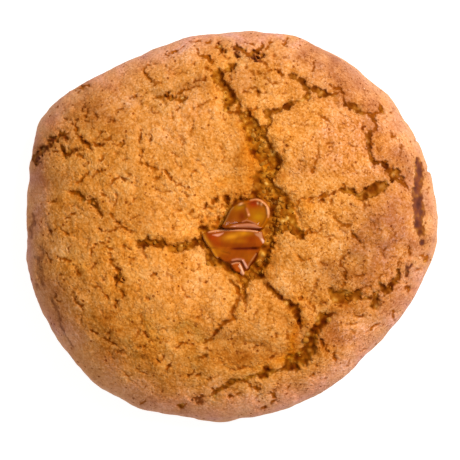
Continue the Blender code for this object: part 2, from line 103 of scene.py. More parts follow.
# Painted shade deep in the cracks, where their walls shade the floor; each spot also deepens the cut a little: (across,
# down, radius along, radius across, turn in degrees, strength).
DEEP_SHADE_SPOTS = [
    (239, 112.5, 3, 2.6, 0, 1), (241, 120.5, 3.4, 1.9, 0, 1), (252.5, 122.5, 4.2, 2.2, -8, 1), (251, 114, 1.8, 4.5, -20, 0.8), (249, 140.5, 2.8, 2, 20, 0.8), (253, 151.5, 3.6, 2.2, 15, 0.9), (255, 157, 4, 1.7, 25, 0.8),
    (269.5, 146, 2.8, 4.2, -35, 1), (267, 159, 1.6, 3, 0, 0.8), (270, 165, 2, 1.6, 0, 0.6), (278, 160, 2.6, 5.0, -18, 0.75), (255.5, 190, 4, 7.5, 12, 0.9), (258, 181, 3, 4, 0, 0.6), (263, 170.5, 2.4, 2, 0, 0.6), (276, 198.5, 4, 1.7, -20, 0.9),
    (287, 200, 3.6, 5.4, 0, 0.95), (282.5, 175, 3, 3, 0, 0.7), (277, 177.5, 2.2, 1.3, -20, 0.8), (284, 210.5, 3.6, 3, 0, 0.7), (297, 231.5, 3, 4.2, 0, 1.1), (301, 236.5, 2.8, 2.6, 0, 1.1), (293, 227.5, 1.6, 1.2, 0, 0.8), (288, 227.5, 1.4, 1.1, 0, 0.8),
    (272, 213, 2, 7, 0, 0.8), (267.5, 230, 4, 2.6, 10, 0.9), (274.5, 243.5, 2.2, 3, 0, 0.8), (266, 247.5, 4.6, 3.2, 0, 1.1), (262, 257, 3, 1.8, 0, 0.9), (257, 268, 2.4, 3.4, 0, 0.9), (267, 263, 3.4, 2.6, 0, 0.7), (262, 277, 4, 2.2, 10, 0.8), (267.5, 285, 2.4, 3.6, -30, 1), (272, 222, 3, 4, 0, 0.5),
    (275, 292, 4.6, 2, 40, 0.9), (281, 298, 4, 2.8, 30, 0.9), (291, 304.5, 5, 2.6, 50, 0.9), (296.5, 313, 2.4, 4.6, -20, 1), (299.5, 320, 1.8, 3.6, -10, 0.8), (300.5, 328, 1.5, 2, 0, 0.9), (244, 298, 3, 5, 0, 0.8), (242, 276.5, 3.6, 1.6, 15, 1.0),
    (203, 241, 3, 4, -30, 0.8), (206.8, 248.5, 3.4, 6, -30, 0.85), (211, 256.5, 3.6, 5, -35, 0.85), (209, 260, 3.5, 2.6, 30, 0.6), (219, 261, 3.4, 2, 40, 0.9), (226.5, 267, 4.4, 2.8, 40, 1.1), (232.5, 272, 3, 1.6, 20, 1), (241, 199.5, 4, 1.6, -10, 0.9), (234, 202.5, 3.4, 1.8, -30, 0.8),
    (226.5, 198.5, 3.2, 3.6, 0, 1), (227, 206, 1.8, 3, 0, 0.5), (215, 200, 3.6, 1.7, -55, 0.9), (205.3, 207.5, 1.7, 2.8, 20, 0.8), (218, 219, 1.8, 4.2, 15, 0.6), (203.5, 228.5, 3.6, 2.4, 0, 1), (202, 222.5, 3.6, 1.5, 0, 0.5), (223.5, 215.5, 1.3, 3.0, 20, 0.35), (204.5, 219, 2.5, 1.2, 0, 0.4),
    # left
    (137.5, 243, 2.4, 2.4, 0, 0.7), (143.5, 244.5, 3.6, 2.6, 0, 0.8), (152, 245, 2.6, 2.6, 0, 0.7), (163, 244.5, 5, 2, 0, 1), (157, 247, 4, 1.4, 0, 0.8), (143.5, 248.5, 1.5, 1.6, 0, 0.8), (194, 242, 3.4, 2.8, 0, 0.8), (146.5, 238, 1.6, 1.6, 0, 0.7), (190, 247, 2.4, 1.8, 0, 0.5),
    # upper
    (221, 80, 2.8, 3.4, -20, 1.3), (225.5, 86, 4, 3.6, 30, 1), (231, 92.5, 3.2, 4, -30, 1.1), (216.5, 76, 3.4, 1.8, 0, 0.6), (229, 107, 2, 3.2, 0, 0.9), (234.5, 65.5, 2, 2, 0, 0.9), (225, 71, 3.6, 1.4, 0, 0.8), (231, 71, 2.2, 1.5, 0, 0.7),
    (219.5, 42, 2, 3, -30, 0.8), (222.3, 50, 3, 3, 0, 0.7), (236, 49, 3, 3, 0, 0.4), (237, 54.5, 2.6, 2.4, 0, 0.7), (257, 54, 3, 2.6, -20, 0.9), (253, 57.5, 4, 3, 0, 0.5), (253, 61.3, 6.5, 1.2, 0, 0.8), (245.5, 62.5, 1.6, 1.8, 0, 0.7), (261, 48.5, 2.4, 1.6, -30, 0.8),
    (288, 104.5, 4.4, 3.4, 0, 0.9), (283.5, 107, 2.2, 1.6, 0, 0.7), (275, 110, 4.6, 1.8, 0, 0.9), (267.5, 113, 3, 3, 0, 0.7), (292, 76, 3.6, 2.6, 10, 0.8), (303, 82, 4.6, 2.2, 50, 0.9), (309, 88.5, 2.8, 2.6, 0, 0.8), (316.5, 87.5, 2.6, 2.2, 0, 0.8), (328, 94, 4, 1.8, 0, 0.8), (321.5, 96.5, 2.6, 1.2, 0, 0.7),
    (352.5, 105, 3.6, 2.2, 20, 0.9), (358, 110.5, 3.6, 2.2, 10, 0.9), (346, 104, 1.8, 2, 0, 0.7),
    # right
    (368, 193, 6, 4, -25, 0.6), (379, 186, 5, 3.6, -20, 0.7), (369.5, 138, 2.2, 5, 0, 0.7), (370, 148, 2.4, 6, 0, 0.8), (375, 163, 4, 2, 0, 0.5), (388, 170, 3, 4, -40, 0.6), (393.5, 178, 3.4, 2.4, 10, 0.8), (385, 163, 3, 2, 0, 0.6),
    (366, 188.5, 3.4, 2.2, -30, 0.9), (375.5, 188, 5.4, 2.4, -15, 1.1), (363, 197, 3.4, 2.6, 0, 0.8), (351, 190, 4.4, 1.4, 0, 0.7), (334, 193.5, 2, 1.8, 0, 0.9), (379.5, 184, 2.6, 2, 0, 0.7), (372, 193, 3, 1.8, -30, 0.6), (322, 200, 3, 1.4, 0, 1), (321.5, 195, 1.6, 2.4, 30, 0.6),
    (416.5, 161, 2.2, 3.4, 20, 1.0), (420.5, 171, 2.2, 6.0, -8, 0.8), (416, 186.5, 1.6, 5.6, 0, 0.7), (419.5, 203.5, 2.2, 6.6, 10, 0.95), (421.5, 212, 1.8, 4.4, 0, 0.6), (417.2, 224, 2.6, 4.8, -14, 0.9), (421.4, 232, 2.2, 4.6, 0, 0.85), (423, 243, 2.3, 2.6, 0, 0.95), (415, 198, 1.6, 2.4, 0, 0.4),
    # lower right
    (335, 292, 2, 1.8, 0, 0.8), (342, 297, 6, 3.6, 0, 0.5), (333, 288.3, 2.6, 1, 0, 0.6), (356, 296.5, 4.6, 1.6, 0, 0.7), (369.5, 298, 3, 1.8, -20, 0.9), (357, 290, 4.2, 1.1, -8, 0.8), (377, 302, 2.6, 3.6, 0, 1.1), (373, 306, 2, 3, 0, 0.6), (382, 286.8, 2.6, 2.6, 0, 1.1), (386, 291.5, 5, 3, 0, 0.8),
    (391.5, 285, 3, 2.4, -30, 0.7), (399, 274, 2, 3.6, 10, 0.6), (395, 280, 3, 2.4, -40, 0.4), (407.5, 271.5, 1.8, 4.4, 0, 0.8), (412.5, 265.3, 1.8, 1.2, -20, 0.7), (409, 288, 3.4, 2.8, 0, 0.55), (325, 303, 2.6, 1.4, 30, 0.7), (341, 264, 1.6, 2.6, 0, 0.6),
    (241, 298, 3.0, 3.2, 0, 0.9), (233, 312, 2.0, 4.2, 20, 1.0), (226, 321, 4.6, 2.2, -45, 1.0), (215.5, 333.5, 5.0, 2.0, -48, 1.0), (116, 277, 1.6, 3.4, 0, 0.6),
    # lower fissure
    (330, 315.5, 3.2, 1.8, -10, 1), (324.5, 321.5, 3.6, 5, 20, 1.25), (320.5, 327.5, 4, 2.6, -30, 1.1), (312, 333, 5.4, 2.6, -15, 0.9), (313, 341, 3, 4.4, 0, 0.9), (313, 349, 2.8, 5, 10, 1), (306, 352.5, 4.6, 3.4, -40, 0.7), (294.5, 367.5, 5, 3.8, 0, 1.15), (289, 370, 3.4, 1.6, 0, 0.8), (285, 367, 3, 2.2, 0, 0.6), (307, 362, 3, 2, -50, 0.7),
    (298, 361, 4, 2.4, -30, 0.5), (268, 370.5, 3.4, 3.4, 0, 1.1), (265.5, 376, 2.2, 3, 0, 0.8), (241, 381, 6, 1.5, -4, 0.8), (233, 380, 2, 1.6, 0, 0.8), (257, 375.5, 4, 1.1, -8, 0.6), (225.5, 386.5, 4.4, 2, -30, 0.6), (215.5, 393.5, 2.4, 2, -30, 0.8), (200.5, 402.5, 3.4, 2.6, 0, 1), (278, 370.5, 3, 1, 0, 0.5),
    # left rim
    (52, 140, 4.2, 2.4, -15, 1.0), (64.5, 137.5, 2.2, 3.4, -35, 1.1), (49.5, 145, 1.8, 3, 0, 0.9), (61, 135, 2.5, 1.6, 0, 0.7), (66.5, 154.5, 4.4, 2.2, 0, 1.1), (73, 151, 3.5, 2, -25, 1.0), (62.6, 151, 2, 2.6, 0, 0.7), (80, 136.5, 1.7, 1.7, 0, 1.0), (85, 142.5, 4.2, 1.9, 35, 1.0), (100, 144.5, 4.6, 1.6, 0, 0.8),
    (45, 147, 3, 1.8, 0, 0.8), (40, 148, 4, 2.8, 0, 0.8), (166, 96, 2, 2, 0, 0.9), (182, 99.5, 2.4, 2, 0, 0.9), (175, 97, 4, 1.4, 5, 0.6),
]
# Pale lumps of crumb: (across, down, radius along, radius across, turn, height in millimetres).
LUMPS = [
    (251, 133.5, 2.6, 3, 0, 0.32), (247, 131, 2.4, 2.4, 0, 0.2), (246, 121, 2.6, 1.6, -10, 0.2), (268, 172.5, 4.4, 3.6, 0, 0.45), (265.5, 183, 4.6, 2, 50, 0.3), (270, 190, 4, 3, 30, 0.25), (262, 148, 3.4, 4, 0, 0.3), (259, 139, 3.4, 2.6, 0, 0.25), (273, 153, 3, 3, 0, 0.2),
    (278, 203, 3, 3.4, 0, 0.35), (277, 211, 3, 4.2, 0, 0.4), (283, 221.5, 3.8, 3, 0, 0.35), (287.5, 217.5, 2.6, 2, 20, 0.35), (291.5, 223, 2, 1.8, 0, 0.3), (279, 227.5, 3, 2, 0, 0.3), (267, 236.5, 2.8, 2.6, 0, 0.4), (271, 240, 2.4, 2.6, 0, 0.35), (263.5, 253, 2.6, 3.4, 0, 0.3), (259, 264, 2.4, 3.4, 0, 0.35), (252, 275, 4, 2.6, 0, 0.3),
    (204, 215, 3.4, 4.0, 0, 0.50), (212.5, 212, 3.8, 3.2, 0, 0.55), (220, 209.5, 3.2, 2.8, 20, 0.5), (211, 221.5, 3.4, 3.8, 0, 0.55), (222.5, 214, 1.8, 3.2, 20, 0.4), (209, 204, 3.2, 2.8, 0, 0.4), (220, 201, 2.6, 3.2, 0, 0.4), (204, 221, 2.0, 1.8, 0, 0.4), (216, 219, 1.8, 2.0, 0, 0.4), (208, 228, 2.6, 1.8, 0, 0.4), (215, 204.5, 2.0, 1.8, 0, 0.4), (230.5, 204, 1.7, 2.4, 20, 0.35), (234, 196, 2.6, 3.4, 0, 0.3), (213, 258.5, 1.6, 1.6, 0, 0.3), (214, 226, 3, 1.6, 0, 0.2),
    (228, 99, 2.4, 4.6, 0, 0.5), (217.5, 83, 1.8, 3, -20, 0.25), (224.5, 91.5, 1.8, 1.6, 0, 0.2), (220, 45, 2, 2, 0, 0.15), (156, 243, 2.2, 1.4, 0, 0.35), (173.5, 249.5, 3, 2.4, 0, 0.25), (179.5, 248, 2.4, 2.6, 0, 0.22), (186, 245.5, 3, 2, 0, 0.22), (324, 92, 3.4, 2, 10, 0.2), (302.5, 101, 2, 2, 0, 0.2),
    (299, 353.5, 2.4, 2.6, 0, 0.35), (293.5, 356, 2.4, 2, 0, 0.3), (307, 336, 2.4, 4, 0, 0.3), (346, 293, 3, 2, 0, 0.2), (335, 299, 3.6, 3.4, 0, 0.22), (366, 293, 3.4, 2, -10, 0.25), (396, 277, 2, 2.4, 0, 0.25), (376, 294, 2.4, 2.4, 0, 0.3), (393.5, 174.5, 2.0, 1.8, 0, 0.14), (368, 192.5, 2.4, 2, -30, 0.3),
    (173.5, 99.5, 5, 1.9, 2, 0.3), (183.5, 405.5, 2.2, 1.6, 0, 0.3), (128, 228, 2, 1.5, 30, 0.15), (310, 233.5, 1.8, 2, 0, 0.2), (344, 271, 1.6, 1.4, 0, 0.15), (371, 165.5, 1.6, 2, 30, 0.15), (280, 116, 2.4, 2, 0, 0.12), (209, 349, 2, 1.4, 30, 0.12),
]
# Lesser cracks: (across, down, width) along the middle of each.
CRACKS = [
    # upper
    [(206, 66, 2), (207, 70, 3), (212, 71, 2.5)], [(216, 47, 2.5), (220, 48.5, 3)], [(231, 47.5, 2), (236, 46, 3.5), (239, 49, 3)], [(240, 48.5, 4), (246, 52.5, 4.5), (250, 55.5, 5)], [(258, 50.5, 3), (261, 47.5, 4), (262, 43.5, 2.6)],
    [(266, 49.5, 2.4), (269.5, 45, 3.2), (271, 41, 2)], [(283.5, 45, 3), (285, 42, 3), (288, 39.5, 2)], [(258, 61, 2.4), (263, 62, 2.4), (266, 64, 2.4), (266, 68, 2)], [(203, 55, 3), (208, 58.5, 3.6), (213, 61.5, 3)],
    [(197, 49, 1.6), (198, 53.5, 2.4), (202, 56, 2)], [(251, 71, 1.8), (255, 75.5, 2)], [(265, 73, 2), (265, 78, 2), (269, 80, 1.6)], [(258, 73, 2), (261, 74, 1.8)], [(270, 82, 2), (273, 84, 2.4), (278, 83, 2)],
    [(243, 90.5, 1.8), (246, 93, 2.6), (249, 92, 1.8)], [(255, 92, 2.6), (257.5, 95.5, 2.6)], [(259, 92.5, 1.6), (265, 93.5, 1.6)], [(240.5, 103, 2.4), (240, 107, 4), (237, 111, 4)], [(276, 71, 4), (279.5, 70, 3)], [(281, 72, 2), (283.5, 75.5, 2.6)],
    [(269, 71, 2), (272, 71, 1.6)], [(230, 77, 2), (232.5, 79.5, 2)], [(194, 81, 2.4), (200, 80, 2)], [(203, 80.5, 2.4), (206, 78, 2)], [(247, 43, 1.4), (253, 44, 1.8)], [(189, 41, 2.2), (194, 42, 1.6), (200, 41, 3)], [(207, 42, 1.6), (211, 41, 2)],
    [(222, 53, 1.6), (226, 57, 1.5), (230, 58, 1.2)], [(246, 65, 1.6), (247, 69, 1.6)], [(283, 94, 2.4), (287, 91, 1.6)], [(251, 88, 1.4), (256, 88, 1.4)], [(229, 112, 3), (233, 112, 3.4), (238, 111, 4)], [(247, 109, 3), (252, 110, 2.6), (257, 108, 1.6)],
    # upper right
    [(330, 84.5, 2), (334, 88, 2.4), (340, 88.5, 3.4), (344, 94, 2)], [(331, 95, 3), (336, 93, 2.4), (339, 92, 1.8)], [(344, 96, 1.4), (344, 101, 2)], [(338, 103, 2), (339, 107, 1.6)],
    [(364, 112, 3.4), (368, 113.5, 3), (372, 115, 3.4), (374, 120, 3.6), (377, 126, 3), (377, 129, 3.4), (373, 131, 2)], [(370, 114, 3), (376, 113.5, 4), (381, 112, 4), (382, 108, 4), (379, 104, 3)],
    [(370, 131, 4), (369, 138, 5), (370, 145, 6), (370, 153, 5), (371.5, 159, 5), (375, 163, 4.5), (380, 162, 4), (384, 163, 5.5), (387, 168, 6), (390, 173, 6), (393, 177.5, 6), (398, 179.5, 5), (403, 182.5, 4), (408, 187, 2.5)],
    [(363, 123, 1.6), (363, 129, 3)], [(383, 162, 3), (381, 161, 3)], [(373, 165, 2), (374, 168, 1.6)],
    # right
    [(298, 205, 2), (299, 200, 2.4), (303, 198, 1.8)], [(308, 201, 2.6), (312, 198.5, 2.2), (317, 198, 1.8)], [(309, 201.5, 2), (314, 202, 1.6)], [(318, 200.5, 3), (323, 200.5, 3.4), (321, 196, 2.6), (325, 193, 2.4), (328, 193.5, 1.8)], [(344, 188, 2), (344, 184, 2)],
    [(318, 198.6, 1.6), (326, 196, 2.2), (333, 193, 2.8), (341, 190.4, 3.6)], [(364, 204, 2), (365, 208, 1.4)], [(332, 200, 2), (331, 204, 1.4)], [(427, 190, 1.6), (429, 187, 1.6)], [(425, 193, 1.6), (428, 193, 1.4)],
    [(421, 255, 2), (426, 257, 3), (427, 260, 4)], [(409, 248, 2), (410, 254, 2.4)], [(399.5, 258.5, 2.8), (402.5, 256.5, 2.6)], [(399, 262, 2), (398.5, 266, 2)], [(391, 257, 1.2), (396, 256, 1.4)], [(416, 271, 1.5), (421, 268.5, 2), (423, 270, 1.4)],
    # lower right
    [(405, 288, 2.6), (408, 287, 4), (410, 290, 3)], [(361, 288.5, 2.4), (366, 287, 2.6), (371, 287.5, 2)], [(382, 274, 1.4), (379, 278, 2), (380, 282, 2.6)], [(342, 287, 2.4), (345, 284, 2)], [(322, 302, 2.2), (326, 304, 2.6)], [(393, 311, 3), (394, 315, 2.6), (394, 320, 1.4)],
    [(355, 315, 2), (358, 316.5, 2.4), (362, 316, 1.6)], [(338, 307, 1.4), (341, 306, 1.6)], [(310, 303, 2), (314, 306, 2.6), (315, 309, 3)], [(311, 310, 1.4), (307, 306, 1.6)], [(371, 330, 2.5), (374, 326, 1.8), (380, 324, 1.2)], [(302, 297, 2), (300, 301, 2)],
    # about the lower fissure
    [(320, 340, 3), (323, 344, 3.4), (323, 347, 2.4)], [(326, 346, 2), (327, 351, 3.2)], [(334, 353, 2.4), (334, 357, 2.6), (337, 361, 1.6)], [(316, 363, 1.8), (316, 366, 1.4)], [(311, 376, 1.4), (315, 374, 1.8)],
    [(246, 382, 2.4), (249, 384.5, 2), (252, 387, 2), (257, 388.5, 2.6), (259, 390.5, 3), (260, 385, 1.4)], [(270, 393, 1.8), (274, 395, 2.4), (276, 399, 2.6), (272, 402, 2.4)], [(231, 397, 2.4), (236, 395, 2), (240, 392, 1.4)], [(256, 398, 1.4), (261, 394, 1.4)],
    [(261, 408, 1.6), (265, 408, 2.4)], [(291, 384, 1.4), (288, 389, 1.8)], [(207, 379, 2.6), (212, 377.5, 2), (218, 376, 1.4)], [(231, 370, 2), (235, 369, 2.8)], [(238, 368.5, 1.6), (243, 367, 1.4), (249, 367.5, 1.2)], [(271, 358.5, 1.6), (274, 356, 2.6), (277, 353, 1.4)],
    [(193, 399, 3), (199, 398, 2.6), (205, 397, 2)], [(211, 396, 2), (214, 391, 2), (213, 388, 1.4)], [(222, 361, 1.2), (224, 364, 1.4)], [(206, 349, 1.4), (211, 351, 1.8)],
    # below the caramel
    [(238, 282, 3), (243, 282, 3)], [(230, 281, 4), (236, 287, 3.4), (239, 292, 3), (238, 299, 2.4), (236.5, 306, 3), (232, 310, 2.6), (231, 315, 3.6), (234, 319.5, 2.6)], [(246, 303, 2), (246, 307, 1.4)],
    [(234, 318.5, 2), (229, 320.5, 2.6), (224, 323, 4), (220, 327.5, 3.6), (216, 331.5, 3.2), (212.5, 336.5, 3.6), (210, 340, 2), (205, 342, 2.6)],
    # gaps between the lumps of crumb at the hollow's left
    [(226.5, 196, 4.4), (227.5, 201, 5), (227, 207, 3.4)], [(217, 197, 2.6), (214.5, 200.5, 3.8), (212, 203, 2.6)], [(206, 204, 1.8), (204.5, 208.5, 2.8)], [(218.8, 216.5, 3), (218.4, 220, 3.6), (217, 224, 2.6)], [(202, 226, 3), (205.5, 230, 4)],
    [(224.5, 213.5, 2), (222.5, 218, 2.4)], [(199.5, 222, 2), (203, 222.8, 1.6)], [(209, 207.5, 1.8), (213, 208.6, 2)], [(213, 219.6, 1.4), (208, 223, 1.6)], [(209, 213, 1.4), (206.6, 216.5, 1.4)], [(222, 206, 1.8), (219.5, 209, 1.4)], [(213, 226.6, 2), (218, 227, 2.4)],
    # left of the caramel
    [(123, 246, 2), (127, 249, 2.4), (130, 250, 1.6)], [(142, 247, 2), (143, 251, 1.6)],
    # left half, fine cracks
    [(69, 193, 2), (73, 192, 2.5), (78, 194, 4), (82, 198, 4), (87, 199, 4), (93, 202, 5), (97, 206, 4.5), (99, 211, 4), (103, 216, 2)],
    [(109, 212, 1.5), (113, 218, 2), (118, 223, 3), (122, 226, 3), (125, 228, 3), (131, 232, 2.5)],
    [(119, 227, 2), (114, 230, 2), (110, 232, 2.5)], [(100, 227, 2), (102, 232, 2), (106, 231, 1.5)],
    [(116, 193, 1.2), (117, 199, 1.6), (115, 205, 1.6), (111, 209, 1.5)], [(64, 218, 1.5), (69, 218, 2.2)], [(71, 214, 2.5), (74, 214, 2)],
    [(49, 148, 3.4), (49, 142, 4.5), (51, 139, 4.5), (55, 138.5, 5), (58, 136, 3.6), (61, 134, 4), (64, 136, 5), (65, 139, 4)], [(46, 147, 3.4), (42, 149.5, 6), (38, 154, 7), (34.5, 161, 6)], [(65, 134, 1.6), (70, 133, 1.4)],
    [(61, 145, 3), (61.5, 149, 4), (65, 153, 5), (68, 154, 4.5), (71, 151.5, 4), (76, 150, 3.4)], [(77, 155, 1.8), (83, 157, 3)], [(54, 151, 1.6), (57, 152, 1.8)],
    [(70, 120, 1.8), (73, 124, 1.6)], [(76, 121, 1.4), (75, 127, 2.4), (77, 132, 2), (80, 137, 3), (81, 140, 3.4), (84, 143, 4.4), (88, 145, 4), (91, 149, 2.6)], [(84, 147, 1.4), (84, 151, 1.2)],
    [(93, 143, 2), (97, 144.5, 3.4), (101, 144.5, 3.4), (104, 144, 2)], [(105, 140, 3), (110, 138.5, 2.6), (114, 141, 1.5)], [(113, 144.5, 2), (117, 145, 2)], [(121, 146, 3), (123.5, 142.5, 3)],
    [(84, 104, 2), (84, 108, 1.4)], [(87, 109, 2), (87, 112, 1.5), (85.5, 117, 2.2)], [(85, 121, 1.4), (88, 122, 1.6)], [(73, 104, 1.5), (75, 108, 1.6)], [(82, 109, 1.4), (82, 112, 1.2)], [(77, 90, 3), (83, 87, 3), (89, 85, 2)],
    [(64, 118, 1.5), (67, 119, 1.2)], [(100, 161, 1.6), (104, 156, 1.5)], [(84, 165, 1.8), (88, 163, 1.8)], [(115, 154, 1.4), (119, 152, 1.2)],
    [(139, 143, 2.2), (139, 138, 3), (141, 131, 2)], [(136, 122, 1.5), (138, 119, 1.3)], [(126, 159, 2.5), (129, 159, 2)], [(141, 151, 2), (142, 158, 2.5), (141, 164, 2.5)],
    [(129, 98, 1.5), (133, 97, 2), (137, 96, 1.6), (143, 96, 2)], [(140, 100, 2), (141, 104, 1.6)], [(153, 98, 2.5), (158, 97, 1.6), (163, 97, 3), (167, 95, 4)],
    [(163, 100, 1.5), (166, 104, 1.2)], [(180, 101, 4), (183, 99, 3)], [(181, 92, 3), (184, 89, 3), (190, 89, 1.6), (195, 87, 1.3), (199, 86, 1.2)],
    [(193, 109, 1.5), (198, 106, 2), (203, 103, 2), (207, 101, 1.5), (211, 100, 1.2)],
    [(143, 69, 1.5), (147, 65, 1.5), (152, 64, 1.2), (158, 63, 1.2)], [(144, 70, 1.5), (146, 74, 2), (149, 78, 2.5), (152, 81, 2)], [(154, 84, 1.6), (157, 82, 1.6), (161, 82, 2)],
    [(167, 54, 2), (172, 52, 2.6), (177, 50, 2), (183, 47, 1.4)], 
    [(146, 164, 3), (150, 166, 3), (154, 168, 3), (158, 169, 2), (163, 170, 2.2), (167, 174, 2.6), (173, 181, 3), (177, 184, 2), (182, 184, 1.5), (186, 189, 2)], [(186, 194, 1.6), (188, 197, 1)],
    [(74, 183, 2), (80, 181, 2), (83, 178, 2), (85, 175, 3), (88, 173, 2.2)], [(92, 177, 1.6), (96, 173, 2), (99, 170, 2), (102, 172, 1.6)],
    [(110, 186, 1.5), (112, 181, 1.6), (117, 178, 2), (121, 178, 2), (125, 180, 2), (130, 175, 2)],
    [(219, 145, 1.3), (223, 150, 1.5), (222, 154, 1.2), (224, 158, 1.5), (223, 162, 1.2)], [(175, 162, 1.2), (178, 165, 1.5), (181, 167, 1.2)], [(202, 165, 1.3), (205, 168, 1.6), (208, 173, 1.3)], [(196, 160, 2), (199, 161, 1.6)],
    [(171, 112, 1.2), (172, 117, 1.5)], [(176, 110, 1.5), (179, 108, 1.6)], [(209, 109, 1.6), (209, 113, 1.3)], [(191, 62, 1.5), (194, 64, 2)],
    [(109, 239, 2.6), (106, 243, 2), (100, 242, 1.5)], [(106, 246, 1.6), (111, 250, 2.5)], [(97, 244, 1.5), (92, 249, 1.6), (91, 256, 1.4)],
    [(110, 251, 1.6), (110, 258, 2.5), (113, 265, 2), (116, 268, 2), (118, 273, 4), (118, 279, 6), (116, 285, 2.5)], [(95, 263, 2), (92, 268, 1.5)],
    [(57, 256, 1.5), (61, 260, 2.2), (66, 259, 2.6), (70, 262, 2.2)], [(74, 266, 1.6), (77, 271, 2.6), (80, 275, 2.4), (81, 280, 1.5)], [(60, 229, 1.4), (64, 232, 1.6), (69, 235, 2), (74, 236, 1.2)],
    [(130, 262, 2), (135, 259, 1.3)], [(200, 265, 1.6), (197, 269, 2.2), (191, 272, 1.3)], [(152, 275, 2), (156, 273, 2.6)],
    [(93, 287, 1.6), (97, 286, 1.8), (101, 289, 1.4), (104, 294, 1.5), (108, 300, 2)], [(115, 302, 2.6), (116, 308, 2.4)], [(122, 290, 1.6), (123, 298, 2.4)],
    [(91, 330, 2), (95, 333, 2.5), (99, 334, 2)], [(101, 338, 1.8), (107, 340, 3), (111, 342, 2.5), (116, 345, 1.5)],
    [(137, 337, 1.5), (138, 332, 1.3)], [(144, 332, 2), (148, 337, 2.4)], [(141, 324, 1.6), (141, 318, 1.4), (143, 314, 1.5)],
    [(137, 348, 1.5), (143, 347, 1.6), (147, 345, 1.2)], [(149, 342, 1.5), (154, 341, 1.8), (157, 338, 1.4), (163, 341, 1.3), (168, 342, 1)],
    [(176, 347, 2), (180, 345, 2.4), (183, 342, 1.8)], [(185, 344, 1.5), (192, 345, 1.5), (195, 343, 1)],
    [(197, 358, 1.4), (202, 357, 2), (206, 355, 2.4)], [(188, 376, 2), (192, 374, 2.4), (194, 371, 1.6)], [(196, 376, 1.6), (200, 374, 2)],
    [(141, 403, 2.5), (146, 401, 2)], [(178, 406, 3), (183, 407, 5), (186, 404, 2)],
    # right half, fine cracks
    [(318, 112, 1.4), (322, 117, 2.4), (328, 120, 2)], [(313, 62, 2.4), (315, 66, 2), (313, 71, 1.4)], [(317, 148, 1.3), (318, 153, 1.6), (316, 160, 1.5), (314, 167, 2.4), (312, 172, 2.8)],
    [(303, 236, 4), (306, 233, 3), (311, 229, 2.2), (312, 232, 2.4), (315, 232, 2), (320, 231, 1.8), (323, 229, 2)], [(323, 237, 1.6), (328, 237, 1.4), (332, 235, 1.4), (337, 238, 1.3)],
    [(336, 212, 1.4), (334, 217, 1.6), (339, 222, 2), (343, 226, 2.6), (348, 226, 2.4), (353, 222, 1.6)], [(340, 228, 1.8), (345, 233, 1.8)], [(351, 231, 1.6), (353, 236, 3), (357, 238, 2.6), (360, 242, 2.2)],
    [(350, 252, 1.8), (345, 256, 2.2), (341, 261, 3.2), (341, 265, 3.4), (344, 269, 2.6), (346, 272, 2.4)], [(343, 273, 2), (346, 276, 2.8), (347, 280, 1.8)], [(354, 275, 1.6), (358, 277.5, 2.4), (361, 275.5, 1.6), (364, 274, 2.6), (368, 274, 1.4)],
    [(298, 256, 1.4), (301, 260, 1.8), (306, 260, 1.6), (311, 259, 1.2)], [(318, 280, 1.4), (316, 285, 1.6), (314, 291, 2), (312, 299, 1.5)],
    [(321, 261, 1.6), (325, 265, 1.5)], [(391, 132, 1.5), (394, 137, 1.8), (397, 134, 1.2)],
    [(400, 141, 1.6), (401, 149, 1.4), (401, 157, 1.2)], [(391, 113, 2), (393, 109, 1.4)], [(377, 148, 1.6), (381, 150, 1.8)], [(275, 333, 2.4), (277, 338, 2)], [(287, 334, 2), (288, 340, 1.8)],
]
# Shallow places of bare crumb: depth in millimetres, then (across, down, width) along the middle.
HOLLOWS = [
    (0.25, [(167, 97, 4), (175, 98, 6), (183, 99, 5)]),
    (0.35, [(235, 47, 5), (237, 54, 6)]),
    (0.22, [(387, 168, 5), (393, 171.5, 9), (399, 175.5, 8)]),
    (0.35, [(219, 41, 4), (222, 50, 6)]),
    (0.45, [(254, 54.5, 9), (258, 56, 8)]),
]
